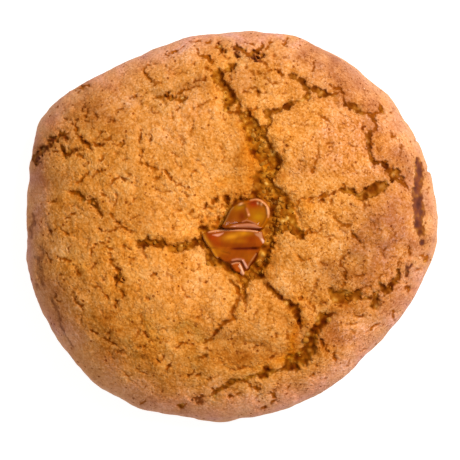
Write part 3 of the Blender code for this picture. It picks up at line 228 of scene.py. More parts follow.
# How the skin took colour, with painted light and shade among it: (across, down, radius along, radius across, turn in
# degrees, how much). The browned patches are partly the crust's own browning and partly painted shade, in the dips and
# on the rim that is turned from the lamp.
BROWNED_AND_SHADED = [
    (386, 222, 26, 40, 0, 0.95), (362, 265, 26, 24, 0, 0.90), (396, 285, 18, 16, -40, 0.30), (345, 300, 30, 12, 0, 0.30), (332, 78, 36, 18, 38, 0.55), (362, 122, 22, 20, 40, 0.55), (250, 78, 22, 16, 0, 0.32), (300, 62, 24, 14, 0, 0.30),
    (96, 112, 26, 24, -20, 0.60), (60, 130, 16, 20, 0, 0.20), (52, 178, 16, 20, 0, 0.30), (40, 225, 10, 40, 0, 0.25), (40, 292, 14, 16, 0, 0.50), (60, 310, 20, 30, 30, 0.20), (118, 330, 36, 22, 35, 0.50), (150, 366, 44, 16, 18, 0.40), (78, 250, 20, 16, 0, 0.15), (72, 284, 20, 12, 0, 0.35),
    (246, 351, 26, 11, -6, 0.85), (205, 362, 20, 12, 0, 0.35), (302, 338, 18, 22, 20, 0.50), (334, 336, 13, 15, 0, 0.95), (318, 322, 20, 12, 0, 0.50), (276, 352, 16, 12, 0, 0.40), (218, 330, 26, 12, 0, 0.30), (300, 290, 16, 10, 0, 0.25), (330, 285, 16, 12, 0, 0.35), (398, 172, 12, 14, 0, 0.45), (376, 136, 20, 10, 60, 0.3),
    (333, 68, 26, 13, 30, 0.75), (357, 104, 13, 11, 40, 0.6), (92, 115, 20, 16, 0, 0.35), (196, 80, 14, 8, 0, 0.4), (241, 79, 14, 9, 0, 0.35), (405, 171, 12, 16, 0, 0.9), (409, 200, 5, 46, 0, 0.40), (428, 200, 4, 44, 0, 0.35), (429, 243, 6, 8, 0, 0.6), (416, 246, 6, 7, 0, 0.5), (409, 268, 9, 12, 0, 0.35), (384, 300, 12, 12, 0, 0.30), (357, 264, 14, 14, 0, 0.6), (322, 328, 20, 12, -20, 0.7), (238, 355, 16, 9, 0, 0.55), (219, 342, 16, 12, 0, 0.4), (114, 311, 18, 10, 20, 0.35), (36, 172, 10, 28, 0, 0.55),
    (333, 262, 13, 11, 0, 0.45), (347, 308, 24, 11, 0, 0.42), (333, 82, 28, 13, 20, 0.25), (358, 84, 14, 12, 0, 0.22), (320, 104, 24, 11, 0, 0.28), (384, 106, 12, 12, 0, 0.35), (116, 110, 24, 17, 0, 0.24), (125, 128, 15, 11, 0, 0.24),
    (378, 150, 11, 25, 0, 0.38), (400, 160, 10, 22, 0, 0.22), (241, 168, 11, 42, 0, 0.30), (263, 263, 11, 13, 0, 0.45), (241, 202, 13, 11, 0, 0.2), (184, 246, 12, 9, 0, 0.2), (219, 374, 10, 11, 0, 0.2), (126, 316, 17, 11, 0, 0.2), (287, 315, 13, 13, 0, 0.28), (308, 60, 14, 11, 0, 0.25),
    (298, 80, 20, 11, 0, 0.33), (287, 103, 12, 11, 0, 0.2), (379, 103, 11, 11, 0, 0.3), (402, 126, 11, 12, 0, 0.3), (379, 149, 10, 14, 0, 0.35), (402, 172, 10, 12, 0, 0.3), (241, 138, 10, 24, 0, 0.3), (287, 172, 10, 12, 0, 0.25), (333, 172, 14, 12, 0, 0.25),
    (333, 57, 14, 10, 0, 0.3), (241, 205, 10, 14, 0, 0.2), (379, 195, 12, 10, 0, 0.3), (149, 218, 12, 10, 0, 0.2), (195, 241, 10, 9, 0, 0.3), (264, 270, 10, 14, 0, 0.3), (356, 264, 12, 11, 0, 0.5), (287, 310, 12, 12, 0, 0.3), (345, 310, 20, 9, 0, 0.35),
    (333, 333, 12, 12, 0, 0.3), (195, 333, 12, 12, 0, 0.3), (241, 356, 12, 10, 0, 0.3), (287, 379, 12, 10, 0, 0.3), (241, 379, 12, 10, 0, 0.25), (100, 215, 36, 50, 0, 0.12), (60, 180, 20, 30, 0, 0.10),
    (170, 88, 16, 7, 0, 0.45), (196, 84, 18, 8, 0, 0.35), (240, 50, 20, 8, 0, 0.30), (148, 222, 16, 9, 0, 0.30), (100, 275, 10, 14, 0, 0.10), (210, 60, 12, 9, 0, 0.15), (188, 258, 10, 14, 0, 0.12), (140, 250, 14, 10, 0, 0.18),
]
# Paler, pinker patches, mostly on the rim: partly the skin's own tone and partly a painted sheen of the bright
# surroundings.
BLUSHED_AND_SHEEN = [
    (250, 36, 60, 9, 0, 0.9), (58, 336, 12, 20, -35, 0.6), (34, 275, 8, 26, 0, 0.8), (34, 190, 7, 30, 0, 0.3), (300, 412, 50, 10, -14, 0.5), (180, 418, 60, 8, 0, 0.4),
    (400, 215, 30, 60, 0, 1.0), (372, 262, 22, 20, 0, 0.7), (365, 130, 34, 40, -30, 0.95), (322, 70, 50, 22, 25, 0.65), (330, 150, 26, 24, 0, 0.50), (344, 340, 26, 26, 0, 1.0), (392, 300, 30, 40, 40, 0.8), (318, 385, 50, 20, -30, 1.0), (250, 403, 60, 13, 0, 1.0), (170, 400, 50, 14, 15, 0.9),
    (110, 370, 26, 14, 40, 0.8), (60, 320, 18, 30, -25, 0.7), (38, 200, 12, 60, 0, 0.8), (52, 120, 16, 30, 30, 0.7), (110, 70, 40, 16, -35, 0.8), (170, 52, 46, 14, -15, 0.7), (130, 100, 30, 16, 0, 0.35), (200, 46, 20, 10, 0, 0.3), (235, 85, 16, 12, 0, 0.3), (196, 110, 20, 16, 0, 0.4), (172, 130, 26, 20, 0, 0.2), (170, 290, 30, 16, 0, 0.15),
]
GILDED = [
    (110, 205, 42, 62, 0, 0.45), (140, 285, 46, 44, 0, 0.50), (120, 362, 38, 20, 0, 0.5), (250, 176, 22, 56, 0, 0.6), (200, 378, 36, 14, 0, 0.5), (290, 172, 16, 30, 0, 0.4), (345, 306, 24, 12, 0, 0.5), (330, 104, 26, 14, 0, 0.3), (262, 262, 14, 16, 0, 0.5),
    (236, 232, 46, 46, 0, 1.0), (262, 160, 16, 50, -12, 1.0), (206, 180, 20, 26, 0, 0.3), (78, 160, 30, 34, 0, 0.55), (100, 128, 24, 16, 0, 0.35), (130, 240, 44, 16, 0, 0.75), (72, 270, 26, 20, 0, 0.75), (110, 270, 34, 20, 0, 0.6), (130, 325, 52, 34, 20, 0.95), (206, 350, 40, 26, 10, 0.9), (250, 356, 40, 16, -10, 1.0),
    (304, 334, 24, 34, 30, 1.0), (296, 306, 22, 14, 0, 0.6), (330, 296, 26, 12, 0, 0.5), (216, 76, 16, 20, 30, 0.6), (226, 106, 16, 16, 0, 0.7), (150, 190, 30, 26, 0, 0.15), (196, 232, 22, 18, 0, 0.5), (120, 170, 30, 16, 0, 0.3), (300, 212, 16, 16, 0, 0.4), (180, 330, 30, 20, 0, 0.4), (350, 192, 26, 9, 0, 0.5), (240, 292, 20, 16, 0, 0.5), (160, 362, 40, 14, 15, 0.5),
]
# Orange patches: partly the crust's own tone and partly painted light on the slopes beside the fissures that face the
# lamp.
AMBERED_AND_LIT = [
    (149, 218, 13, 10, 0, 0.35), (241, 220, 10, 12, 0, 0.3), (290, 240, 12, 9, 0, 0.3), (264, 264, 9, 12, 0, 0.3), (335, 310, 14, 9, 0, 0.3), (241, 357, 13, 8, 0, 0.3), (287, 170, 9, 12, 0, 0.3), (103, 333, 12, 10, 0, 0.2),
    (243, 186, 11, 42, 0, 0.40), (262, 256, 11, 17, 0, 0.5), (230, 222, 8, 10, 0, 0.2), (126, 222, 18, 9, 0, 0.25), (172, 245, 16, 8, 0, 0.3), (126, 312, 18, 8, 0, 0.3), (126, 286, 20, 10, 0, 0.2),
    (247, 141, 8, 22, -18, 0.9), (256, 165, 8, 13, 0, 0.9), (262, 160, 5, 10, 0, 0.5), (232, 188, 14, 8, 0, 0.45), (300, 338, 8, 22, 35, 0.85), (284, 356, 15, 6, -25, 0.75), (262, 367, 14, 5, -10, 0.6), (236, 270, 10, 6, 30, 0.4),
    (222, 60, 12, 8, 0, 0.3), (213, 90, 6, 12, 0, 0.35), (292, 308, 8, 14, 40, 0.5), (250, 352, 24, 8, -6, 0.35), (240, 292, 8, 14, 0, 0.45), (344, 306, 18, 5, 0, 0.4), (302, 212, 6, 14, 0, 0.35), (80, 266, 14, 10, 0, 0.25), (140, 330, 30, 10, 25, 0.3),
]
# Dark purple-brown patches: painted shade in the rough recess at the right rim and on the shaded parts of the rim.
DUSK_SHADE_PATCHES = [
    (250, 32, 60, 7, 0, 0.25), 
    (420, 200, 7, 50, 0, 1.0), (424, 243, 6, 8, 0, 0.9), (41, 258, 7, 30, 0, 0.55), (57, 318, 8, 26, -25, 0.45), (36, 160, 6, 12, 0, 0.7), (412, 272, 7, 12, 0, 0.6), (33, 222, 4, 20, 0, 0.5), (48, 146, 10, 7, -20, 0.45), (256, 54, 10, 6, 0, 0.45), (238, 50, 8, 5, 0, 0.35), (203, 402, 8, 5, 0, 0.5),
]
FAIR = [
    (90, 241, 22, 11, 0, 0.8), (114, 264, 22, 11, 0, 0.7), (149, 57, 16, 10, 0, 0.6), (54, 126, 15, 12, 0, 0.6), (195, 126, 12, 11, 0, 0.5), (172, 195, 12, 11, 0, 0.5), (57, 287, 12, 12, 0, 0.5), (149, 333, 12, 11, 0, 0.6), (103, 333, 12, 11, 0, 0.6),
    (310, 333, 12, 11, 0, 0.6), (379, 333, 12, 12, 0, 0.8), (195, 390, 14, 18, 0, 0.7), (320, 385, 24, 14, -30, 0.9), (306, 402, 18, 11, 0, 0.8), (34, 172, 8, 20, 0, 0.8), (241, 103, 10, 9, 0, 0.4), (264, 149, 8, 12, 0, 0.8), (287, 195, 12, 10, 0, 0.6), (218, 241, 10, 8, 0, 0.5),
    (211, 214, 13, 13, 0, 0.9), (222, 205, 6, 6, 0, 0.5),
    (192, 214, 20, 34, 10, 1.0), (170, 262, 36, 20, 0, 0.45), (160, 298, 30, 14, 10, 0.55), (168, 176, 26, 16, 0, 0.25), (262, 120, 14, 20, 0, 0.35), (284, 210, 14, 18, 0, 0.8), (236, 310, 16, 16, 0, 0.55), (72, 215, 18, 30, 0, 0.25), (74, 190, 14, 10, 0, 0.3), (280, 186, 14, 10, 0, 0.45), (110, 245, 20, 16, 0, 0.45), (190, 128, 24, 12, 0, 0.35), (288, 268, 12, 14, 0, 0.35), (164, 110, 24, 10, 0, 0.35), (200, 238, 8, 8, 0, 0.3), (250, 403, 50, 10, 0, 0.4), (320, 390, 30, 10, -35, 0.4),
]
# Greyer patches, most of them on the rim: partly the skin's own tone and partly a painted sheen of the bright
# surroundings.
ASHEN_AND_SHEEN = [
    (42, 262, 12, 34, 0, 0.85), (58, 268, 12, 22, 0, 0.35), (34, 185, 8, 26, 0, 0.5), (38, 130, 10, 12, 0, 0.7), (62, 100, 16, 10, -40, 0.5), (60, 335, 10, 18, -30, 0.6), (92, 376, 18, 8, 40, 0.5), (150, 404, 44, 8, 14, 0.4), (222, 424, 36, 8, 0, 0.6),
    (310, 404, 26, 9, -20, 0.75), (352, 364, 34, 13, -42, 0.9), (386, 330, 14, 22, 40, 0.8), (412, 290, 10, 22, 20, 0.5), (424, 220, 8, 60, 0, 0.7), (412, 160, 9, 24, -10, 0.5), (345, 55, 26, 8, 30, 0.4), (262, 34, 50, 7, 0, 0.6), (160, 52, 30, 9, -15, 0.6),
    (158, 84, 22, 12, 0, 0.45), (160, 104, 22, 8, 0, 0.4), (262, 82, 14, 10, 0, 0.5), (190, 215, 14, 18, 0, 0.35), (172, 276, 14, 18, 0, 0.4), (150, 334, 14, 9, 0, 0.45), (206, 356, 22, 9, 0, 0.45), (310, 308, 12, 10, 0, 0.5), (290, 126, 12, 10, 0, 0.35), (386, 226, 18, 26, 0, 0.35),
]
# Darker olive patches: painted shade in the dips of the crust.
OLIVE_SHADE_PATCHES = [
    (192, 333, 20, 6, 8, 0.8), (150, 330, 18, 8, 25, 0.4), (132, 352, 15, 9, 40, 0.5), (108, 318, 16, 7, 32, 0.4), (230, 346, 13, 8, 25, 0.5), (206, 357, 16, 8, 0, 0.4), (160, 103, 20, 8, 0, 0.35), (200, 126, 12, 8, 0, 0.3), (264, 80, 12, 9, 0, 0.3),
    (103, 241, 12, 9, 0, 0.25), (352, 264, 12, 11, 0, 0.5), (76, 132, 7, 5, 0, 0.5), (240, 300, 8, 12, 0, 0.3), (168, 88, 14, 5, 0, 0.4),
]
# Grooves left on the rim by its spreading: shallow.
STREAKS = [
    [(33, 214, 3), (34, 222, 4), (31, 229, 3), (32, 238, 2.5)], [(46, 225, 4), (49, 229, 4), (51, 234, 3)], [(41, 244, 3), (42, 254, 4), (39, 259, 5), (38, 264, 5)],
    [(41, 269, 5), (40, 277, 7), (44, 285, 4)], [(36, 284, 3), (38, 289, 2)], [(51, 299, 3), (56, 308, 3.5), (59, 316, 4), (61, 321, 3), (62, 328, 2), (66, 335, 2), (70, 341, 2), (74, 347, 2)],
]
# Round pits: (across, down, width).
PITS = [
    (208, 217.5, 2.6), (214.8, 217, 2.2), (219.6, 213.6, 2.2), (207.6, 210.4, 2.2), (216.4, 207.4, 2.4), (212, 227.6, 2.4), (221.5, 222, 2.2), (201, 211, 2.2), (205, 201, 2.0), (200.5, 217, 2.0),
    (166, 96, 5), (187, 197, 2), (73, 292, 2.6), (206, 281, 2.6), (124, 353, 3), (88, 349, 2.6), (197, 380, 3), (161, 391, 2.6), (211, 118, 2.6), (200, 402, 7),
    (283, 123, 2.6), (307, 124, 2.8), (281, 141, 2.2), (283, 130, 2.6), (312, 140, 3), (316, 141, 2.4), (329, 128, 2.4), (343, 123, 3), (358, 125, 2.6), (363, 128, 3.2), (303, 143, 2.4),
    (287, 146, 2.8), (292, 192, 2.8), (352, 206, 2.8), (341, 203, 3), (313, 212, 3), (275, 56, 3), (286, 57, 2.4), (277, 71, 3), (359, 90, 2.4), (324, 378, 2.8), (301, 384, 2.6), (264, 409, 3),
    (366, 332, 3), (296, 122, 2), (314, 160, 2), (274, 86, 2), (257, 93, 2.8), (247, 92, 2), (215, 187, 2), (230, 136, 2.4), (152, 132, 2), (106, 166, 2), (156, 181, 2), (164, 185, 2.2),
]
# Broad swells and dips of the crust: (across, down, radius along, radius across, turn in degrees, height in millimetres).
SWELLS = [
    (178, 160, 26, 30, 0, 0.25), (160, 290, 40, 26, 35, 0.45), (240, 346, 22, 12, 0, -0.55), (190, 336, 45, 7, 8, -0.35), (355, 262, 11, 11, 0, -0.45),
    (320, 140, 34, 34, 0, 0.30), (272, 330, 22, 26, 0, 0.35), (255, 90, 26, 16, 0, 0.25), (300, 255, 28, 20, 20, 0.30), (385, 215, 14, 30, 0, 0.25),
    (180, 88, 20, 9, 0, -0.35), (75, 150, 18, 10, 0, -0.25), (110, 118, 22, 16, 0, 0.25), (100, 245, 26, 30, 0, 0.20), (340, 350, 18, 30, 40, 0.2),
    (245, 160, 12, 22, 0, 0.35), (150, 210, 24, 18, 0, 0.2), (120, 330, 30, 12, 30, 0.15),
]


def plan_of(x, y, z):
    """Where a point, in millimetres, is seen in the plan."""
    k = (EYE_Z - BELLY_Z) / (EYE_Z - z) / PLAN_UNIT
    return PLAN_CENTRE[0] + x * k, PLAN_CENTRE[1] - y * k


def place_of(px, py, z):
    """The point at height z that is seen at a place in the plan."""
    k = (EYE_Z - z) / (EYE_Z - BELLY_Z) * PLAN_UNIT
    return (px - PLAN_CENTRE[0]) * k, (PLAN_CENTRE[1] - py) * k


def smooth(a, b, x):
    t = np.clip((x - a) / (b - a), 0.0, 1.0)
    return t * t * (3.0 - 2.0 * t)


# ------------------------------------------------------------------------------------------------------------------
# Fields over the plan
STEP = 0.35
X0, Y0, NX, NY = 12.0, 20.0, 1250, 1200
PX, PY = np.meshgrid(X0 + STEP * np.arange(NX), Y0 + STEP * np.arange(NY))


def band(lo, hi, seed, slope=1.0):
    """Noise with wavelengths between lo and hi plan units, mean 0 and spread 1."""
    white = np.fft.rfft2(np.random.default_rng(seed).standard_normal((NY, NX)))
    f = np.hypot(np.fft.fftfreq(NY, STEP)[:, None], np.fft.rfftfreq(NX, STEP)[None, :])
    f[0, 0] = 1e-6
    out = np.fft.irfft2(white * np.exp(-(f * lo) ** 4) * (1.0 - np.exp(-(f * hi) ** 4)) * f ** -slope, s=(NY, NX))
    return (out - out.mean()) / out.std()


def window(x0, x1, y0, y1):
    i0, i1 = max(0, int((y0 - Y0) / STEP)), min(NY, int((y1 - Y0) / STEP) + 2)
    j0, j1 = max(0, int((x0 - X0) / STEP)), min(NX, int((x1 - X0) / STEP) + 2)
    return slice(i0, i1), slice(j0, j1)


def draw(points, gap, wide, warp, loose=1.0):
    """Lowers gap, the distance to the nearest edge, and sets wide, the width there, along one line of points."""
    lx, ly, hx, hy, swell = warp
    if len(points) == 1:
        points = [points[0], (points[0][0] + 0.1, points[0][1], points[0][2])]
    for (xa, ya, wa), (xb, yb, wb) in zip(points, points[1:]):
        pad = max(wa, wb) / 2 + (10 if wa > 0.3 else 26)
        win = window(min(xa, xb) - pad, max(xa, xb) + pad, min(ya, yb) - pad, max(ya, yb) + pad)
        w = (wa + wb) / 2
        low, high = min(0.26 * math.sqrt(w), 0.8) * loose, min(0.27 * math.sqrt(w), 0.60)
        x, y = PX[win] + lx[win] * low + hx[win] * high, PY[win] + ly[win] * low + hy[win] * high
        dx, dy = xb - xa, yb - ya
        t = np.clip(((x - xa) * dx + (y - ya) * dy) / (dx * dx + dy * dy), 0.0, 1.0)
        w = (wa + (wb - wa) * t) * (1.0 + 0.28 * loose * np.clip(swell[win], -1.8, 2.2))
        d = np.hypot(x - xa - t * dx, y - ya - t * dy) - w / 2
        near = d < gap[win]
        gap[win][near] = d[near]
        wide[win][near] = w[near]


def bed(points, warp):
    """The window about an outline, and the signed distance from it there, less than nothing inside."""
    xs, ys = [q[0] for q in points], [q[1] for q in points]
    win = window(min(xs) - 12, max(xs) + 12, min(ys) - 12, max(ys) + 12)
    lx, ly, hx, hy, _ = warp
    x, y = PX[win] + 0.45 * lx[win] + 0.62 * hx[win], PY[win] + 0.45 * ly[win] + 0.62 * hy[win]
    d, inside = np.full(x.shape, 60.0), np.zeros(x.shape, bool)
    for (xa, ya), (xb, yb) in zip(points, points[1:] + points[:1]):
        dx, dy = xb - xa, yb - ya
        t = np.clip(((x - xa) * dx + (y - ya) * dy) / (dx * dx + dy * dy), 0.0, 1.0)
        d = np.minimum(d, np.hypot(x - xa - t * dx, y - ya - t * dy))
        if dy != 0:
            inside ^= ((ya > y) != (yb > y)) & (x < xa + (y - ya) / dy * dx)
    return win, np.where(inside, -d, d)


def spot(win, px, py, ra, rb, turn, power=1.0):
    c, s = math.cos(math.radians(turn)), math.sin(math.radians(turn))
    u, w = (PX[win] - px) * c + (PY[win] - py) * s, -(PX[win] - px) * s + (PY[win] - py) * c
    return np.exp(-((u / ra) ** 2 + (w / rb) ** 2) ** power)


def chance_cracks():
    """Short jagged cracks of the skin between the drawn ones, most of them in the left half."""
    rng = np.random.default_rng(22)
    lines, taken = [], [(x, y) for line in CRACKS for x, y, _ in line] + [(x, y) for _, _, points in BEDS for x, y in points]
    while len(lines) < 90:
        x, y = rng.uniform(40, 425), rng.uniform(44, 408)
        off_middle = math.hypot((x - 231) / 195, (y - 229) / 182)
        if off_middle > 0.97 or rng.random() > (0.30 if x > 200 or y < 110 else 0.55 if y > 285 else 1.0):
            continue
        if min(math.hypot(x - a, y - b) for a, b in taken) < 9:
            continue
        turn, w = rng.uniform(0, 2 * math.pi), 0.8 + 0.9 * rng.random()
        line = [(x, y, 0.7 * w)]
        for _ in range(int(rng.integers(2, 5))):
            turn += rng.choice([-1.0, 1.0]) * rng.uniform(0.3, 0.95)
            step = rng.uniform(2.4, 4.6)
            x, y = x + step * math.cos(turn), y + step * math.sin(turn)
            line.append((x, y, w * rng.uniform(0.7, 1.35)))
        lines.append(line)
        taken += [(a, b) for a, b, _ in line]
    return lines


# The outlines of the two pieces of caramel
SHIELD_OUTLINE = ((202, 234), (206, 232.3), (212, 230.6), (218, 229.6), (226, 229), (236, 229), (244, 229.4), (250, 229.8), (256, 230.6), (262, 231.4), (263, 236), (264.5, 241), (263.5, 244), (261, 246.5), (259.5, 251), (258, 258), (255.5, 265), (251.5, 271.5), (247, 276), (244.5, 277.3), (241.5, 275), (239.5, 272.8), (235.5, 272), (232.5, 268.5), (230, 264.5), (227, 262.8), (224, 262), (221, 259.6), (219, 257.6), (217.3, 258.8), (215.5, 257.8), (213, 254), (210, 248.6), (206.2, 243.6), (203.4, 239))
LOBE_OUTLINE = ((221.5, 227), (224.5, 221), (227.5, 215), (229.5, 210), (232.5, 206.8), (236.5, 204.4), (240, 202.6), (244.5, 201.2), (248.5, 200.2), (252.5, 199), (257, 198.5), (261, 199.5), (265, 202), (268, 205.2), (269.6, 209), (270.2, 214), (269, 219), (267, 223.4), (264.5, 227), (263, 229.2), (258, 230.8), (248, 230.2), (238, 229.8), (226, 229.6))


def make_fields():
    f = {}
    warp = (band(7, 22, 1), band(7, 22, 3), band(3.0, 7, 2), band(3.0, 7, 4), 0.7 * band(5, 14, 5) + 0.65 * band(2.4, 5, 6))
    gap, wide = np.full((NY, NX), 60.0), np.zeros((NY, NX))
    for line in CRACKS + chance_cracks():
        draw([(a, b, w + (0.9 if a < 125 and w > 2 else 0.5)) for a, b, w in line], gap, wide, warp)
    deep = 0.100 * np.clip(wide, 0.5, 30) ** 0.65 * (1.0 + 0.20 * np.clip(band(8, 30, 7), -2, 2))
    wall = np.clip(0.32 * wide, 0.55, 1.3)
    inside = smooth(0.0, 1.0, -gap / wall)
    v = np.clip(-gap / np.maximum(wide / 2, 0.5), 0, 1)
    cut = deep * inside * (0.72 + 0.28 * smooth(0.1, 0.9, v))
    for depth, rim, points in BEDS:
        win, sd = bed(points, warp)
        cut[win] = np.maximum(cut[win], BED_DEPTH * depth * smooth(0.5, -1.5 * rim, sd) * (0.78 + 0.22 * smooth(0, -5, sd)))
        near = sd < gap[win]
        gap[win][near] = sd[near]
        wide[win][near] = np.maximum(6.0, 6.0 * depth)
    # painted shade deep in the cracks, which also deepens the cut
    dark = np.zeros((NY, NX))
    for px, py, ra, rb, turn, k in DEEP_SHADE_SPOTS:
        win = window(px - 3 * ra - 3, px + 3 * ra + 3, py - 3 * max(ra, rb) - 3, py + 3 * max(ra, rb) + 3)
        g = spot(win, px + 0.0, py, ra * 1.12, rb * 1.12, turn, 1.3) * k
        dark[win] = np.maximum(dark[win], g)
    pale = np.zeros((NY, NX))
    lumps = np.zeros((NY, NX))
    for px, py, ra, rb, turn, h in LUMPS:
        r = 3 * max(ra, rb) + 3
        win = window(px - r, px + r, py - r, py + r)
        g = spot(win, px, py, ra, rb, turn, 1.1)
        pale[win] = np.maximum(pale[win], g)
        lumps[win] += 0.62 * h * g
    # sunken places of bare crumb
    crumbs = 0.55 * (np.abs(band(4.0, 11.0, 8, 1.2)) - 0.8) + 0.55 * np.clip(band(6.0, 15.0, 28, 1.0), -1.6, 1.6)
    hollow = np.zeros((NY, NX))
    for depth, line in HOLLOWS:
        g2, w2 = np.full((NY, NX), 60.0), np.zeros((NY, NX))
        draw(line, g2, w2, warp, 1.5 if depth < 1 else 1.1)
        hollow = np.maximum(hollow, depth * smooth(0.8, -1.5 - 1.8 * depth, g2))
        closer = g2 < gap
        gap[closer], wide[closer] = g2[closer], np.minimum(w2[closer], 14)
    cut = np.maximum(cut, hollow)
    floor = smooth(0.45, -0.50, gap) * np.clip(wide / 2.4, 0.35, 1.0)
    cut = cut + (0.04 + 0.12 * np.clip(cut, 0, 1.2)) * dark * floor
    cut = cut - floor * (0.12 * crumbs + 0.012 * (np.abs(band(3.2, 7.0, 9)) - 0.8)) * smooth(0.1, 0.8, cut)

    # crumb is heaped against the caramel
    still = (np.zeros((NY, NX)),) * 5
    heap = np.zeros((NY, NX))
    for points in (SHIELD_OUTLINE, LOBE_OUTLINE):
        win, sd = bed(list(points), still)
        heap[win] = np.maximum(heap[win], np.exp(-(np.clip(sd, 0, 60) / 3.2) ** 2) * smooth(-4.0, -0.5, sd))
    cut = cut * (1.0 - (0.58 + 0.24 * smooth(242, 228, PX) * smooth(238, 228, PY)) * heap * smooth(270, 260, PY))

    # shallow grooves and pits
    gs, ws = np.full((NY, NX), 60.0), np.zeros((NY, NX))
    for line in STREAKS:
        draw(line, gs, ws, warp)
    streak = smooth(0.8, -1.4, gs)
    gp, wp = np.full((NY, NX), 60.0), np.zeros((NY, NX))
    rng = np.random.default_rng(21)
    for px, py, w in PITS:
        draw([(px, py, w)], gp, wp, warp, 0.8)
    pit = smooth(0.35, -0.9, gp) * np.clip(wp / 2.4, 0.3, 1.6)

    # broad form
    roll = np.zeros((NY, NX))
    for h, r, line in ROLLS:
        gr, wr = np.full((NY, NX), 60.0), np.zeros((NY, NX))
        draw([(x, y, 0.2) for x, y in line], gr, wr, warp, 0.2)
        roll += h * np.exp(-(np.clip(gr, 0, 60) / r) ** 2)
    relief = 0.10 * band(40, 130, 13) + 0.065 * band(14, 40, 14)
    for px, py, ra, rb, turn, h in SWELLS:
        c, s = math.cos(math.radians(turn)), math.sin(math.radians(turn))
        u, w = (PX - px) * c + (PY - py) * s, -(PX - px) * s + (PY - py) * c
        relief += h * np.exp(-(u / ra) ** 2 - (w / rb) ** 2)
    away = np.clip(gap, 0, 50)
    shoulder = (0.03 + 0.020 * np.clip(wide, 0, 12)) * np.exp(-away / 2.4) + 0.018 * np.clip(wide - 2, 0, 12) * np.exp(-away / 9.0)
    curl = 0.05 * np.clip(wide, 0, 10) ** 0.5 * np.exp(-((gap - 5.5) / 3.0) ** 2)
    grain = 0.042 * band(4.5, 12, 15, 0.5) + 0.016 * band(2.4, 5, 16, 0.3)

    f["rise"] = relief + roll * (1 - 0.6 * floor) + lumps + grain + curl - shoulder - cut - 0.30 * streak - 0.13 * pit
    f["cut"] = cut
    f["gap"] = gap
    f["floor"] = floor
    f["thin"] = smooth(6.2, 4.2, wide)
    f["pit"] = np.clip(pit, 0, 1)
    f["streak"] = streak
    f["edge"] = np.exp(-((gap - 1.2) / 1.5) ** 2) * smooth(1.5, 6, wide)
    f["bank"] = smooth(6.5, 0.8, gap) * smooth(-0.3, 0.6, gap) * smooth(1.8, 5.5, wide) * (0.75 + 0.25 * np.clip(band(5, 16, 18), -1.6, 1.6))
    f["worn"] = smooth(235, 320, PX)
    f["crumbs"] = crumbs
    f["dark"] = np.clip(dark, 0, 1.2)
    f["pale"] = pale
    f["tone"] = 0.6 * band(16, 60, 17) + 0.5 * band(5, 16, 18)
    sx, sy = 5.0 * band(24, 80, 31), 5.0 * band(24, 80, 32)
    patchy = 1.0 + 0.22 * np.clip(band(10, 45, 33), -2, 2)
    for name, patches in (("brown_and_shade", BROWNED_AND_SHADED), ("blush_and_sheen", BLUSHED_AND_SHEEN), ("gild", GILDED), ("fair", FAIR), ("amber_and_lit", AMBERED_AND_LIT), ("dusk_shade", DUSK_SHADE_PATCHES), ("ashen_and_sheen", ASHEN_AND_SHEEN), ("olive_shade", OLIVE_SHADE_PATCHES)):
        free = np.ones((NY, NX))
        for px, py, ra, rb, turn, k in patches:
            c, s = math.cos(math.radians(turn)), math.sin(math.radians(turn))
            x, y = PX + sx - px, PY + sy - py
            free *= 1.0 - min(k, 0.98) * np.exp(-((x * c + y * s) / ra) ** 2 - ((y * c - x * s) / rb) ** 2)
        f[name] = np.clip((1.0 - free) * patchy, 0, 1)
    # the painted shade of the recess at the right rim follows its two beds, with a ragged edge
    speck = np.clip(band(2.6, 8.0, 34, 0.6), -2, 2)
    for k in (7, 8):
        win, sd = bed(BEDS[k][2], warp)
        ragged = sd + 1.1 * speck[win]
        f["dusk_shade"][win] = np.maximum(0.4 * f["dusk_shade"][win], smooth(1.8, -2.2, ragged) * np.clip(0.80 + 0.30 * speck[win] + 0.5 * dark[win], 0.15, 1.0))
    f["high"] = band(2.6, 7, 19, 0.3) * 0.5 + band(4.5, 12, 15, 0.5) * 0.5
    return f


FIELDS = make_fields()


def sample(name, px, py):
    a = FIELDS[name]
    x, y = np.clip((px - X0) / STEP, 0, NX - 1.001), np.clip((py - Y0) / STEP, 0, NY - 1.001)
    j, i = x.astype(int), y.astype(int)
    u, v = x - j, y - i
    return (a[i, j] * (1 - u) + a[i, j + 1] * u) * (1 - v) + (a[i + 1, j] * (1 - u) + a[i + 1, j + 1] * u) * v


# ------------------------------------------------------------------------------------------------------------------
# Noise in space, for the sides and for crumbly walls
def lattice(seed):
    return np.random.default_rng(seed).random((32, 32, 32)) * 2 - 1


LATTICES = [lattice(40 + k) for k in range(4)]


def noise3(p, size, k=0):
    """Smooth noise of the points p with lumps of that size, from about -1 to 1."""
    q = p / size + 7.3
    i = np.floor(q).astype(int)
    t = q - i
    t = t * t * (3 - 2 * t)
    g = LATTICES[k]
    out = 0.0
    for a in (0, 1):
        for b in (0, 1):
            for c in (0, 1):
                w = (t[:, 0] if a else 1 - t[:, 0]) * (t[:, 1] if b else 1 - t[:, 1]) * (t[:, 2] if c else 1 - t[:, 2])
                out = out + w * g[(i[:, 0] + a) % 32, (i[:, 1] + b) % 32, (i[:, 2] + c) % 32]
    return out * 1.4


# ------------------------------------------------------------------------------------------------------------------
# The biscuit's smooth form
def outline(angle, detail=True):
    r = MEAN_RADIUS + sum(h * np.cos(n * angle - math.radians(d)) for n, h, d in OUTLINE_LOBES)
    if detail:
        for at, half, h in RIM_DETAIL:
            off_by = np.degrees(np.arctan2(np.sin(angle - math.radians(at)), np.cos(angle - math.radians(at))))
            r = r + h * np.exp(-(off_by / half) ** 2)
    return r


def dome(t):
    return BELLY_Z + (DOME_HEIGHT - BELLY_Z) * np.maximum(0.0, 1.0 - np.minimum(t, 1.0) ** DOME_P) ** (1.0 / DOME_Q)


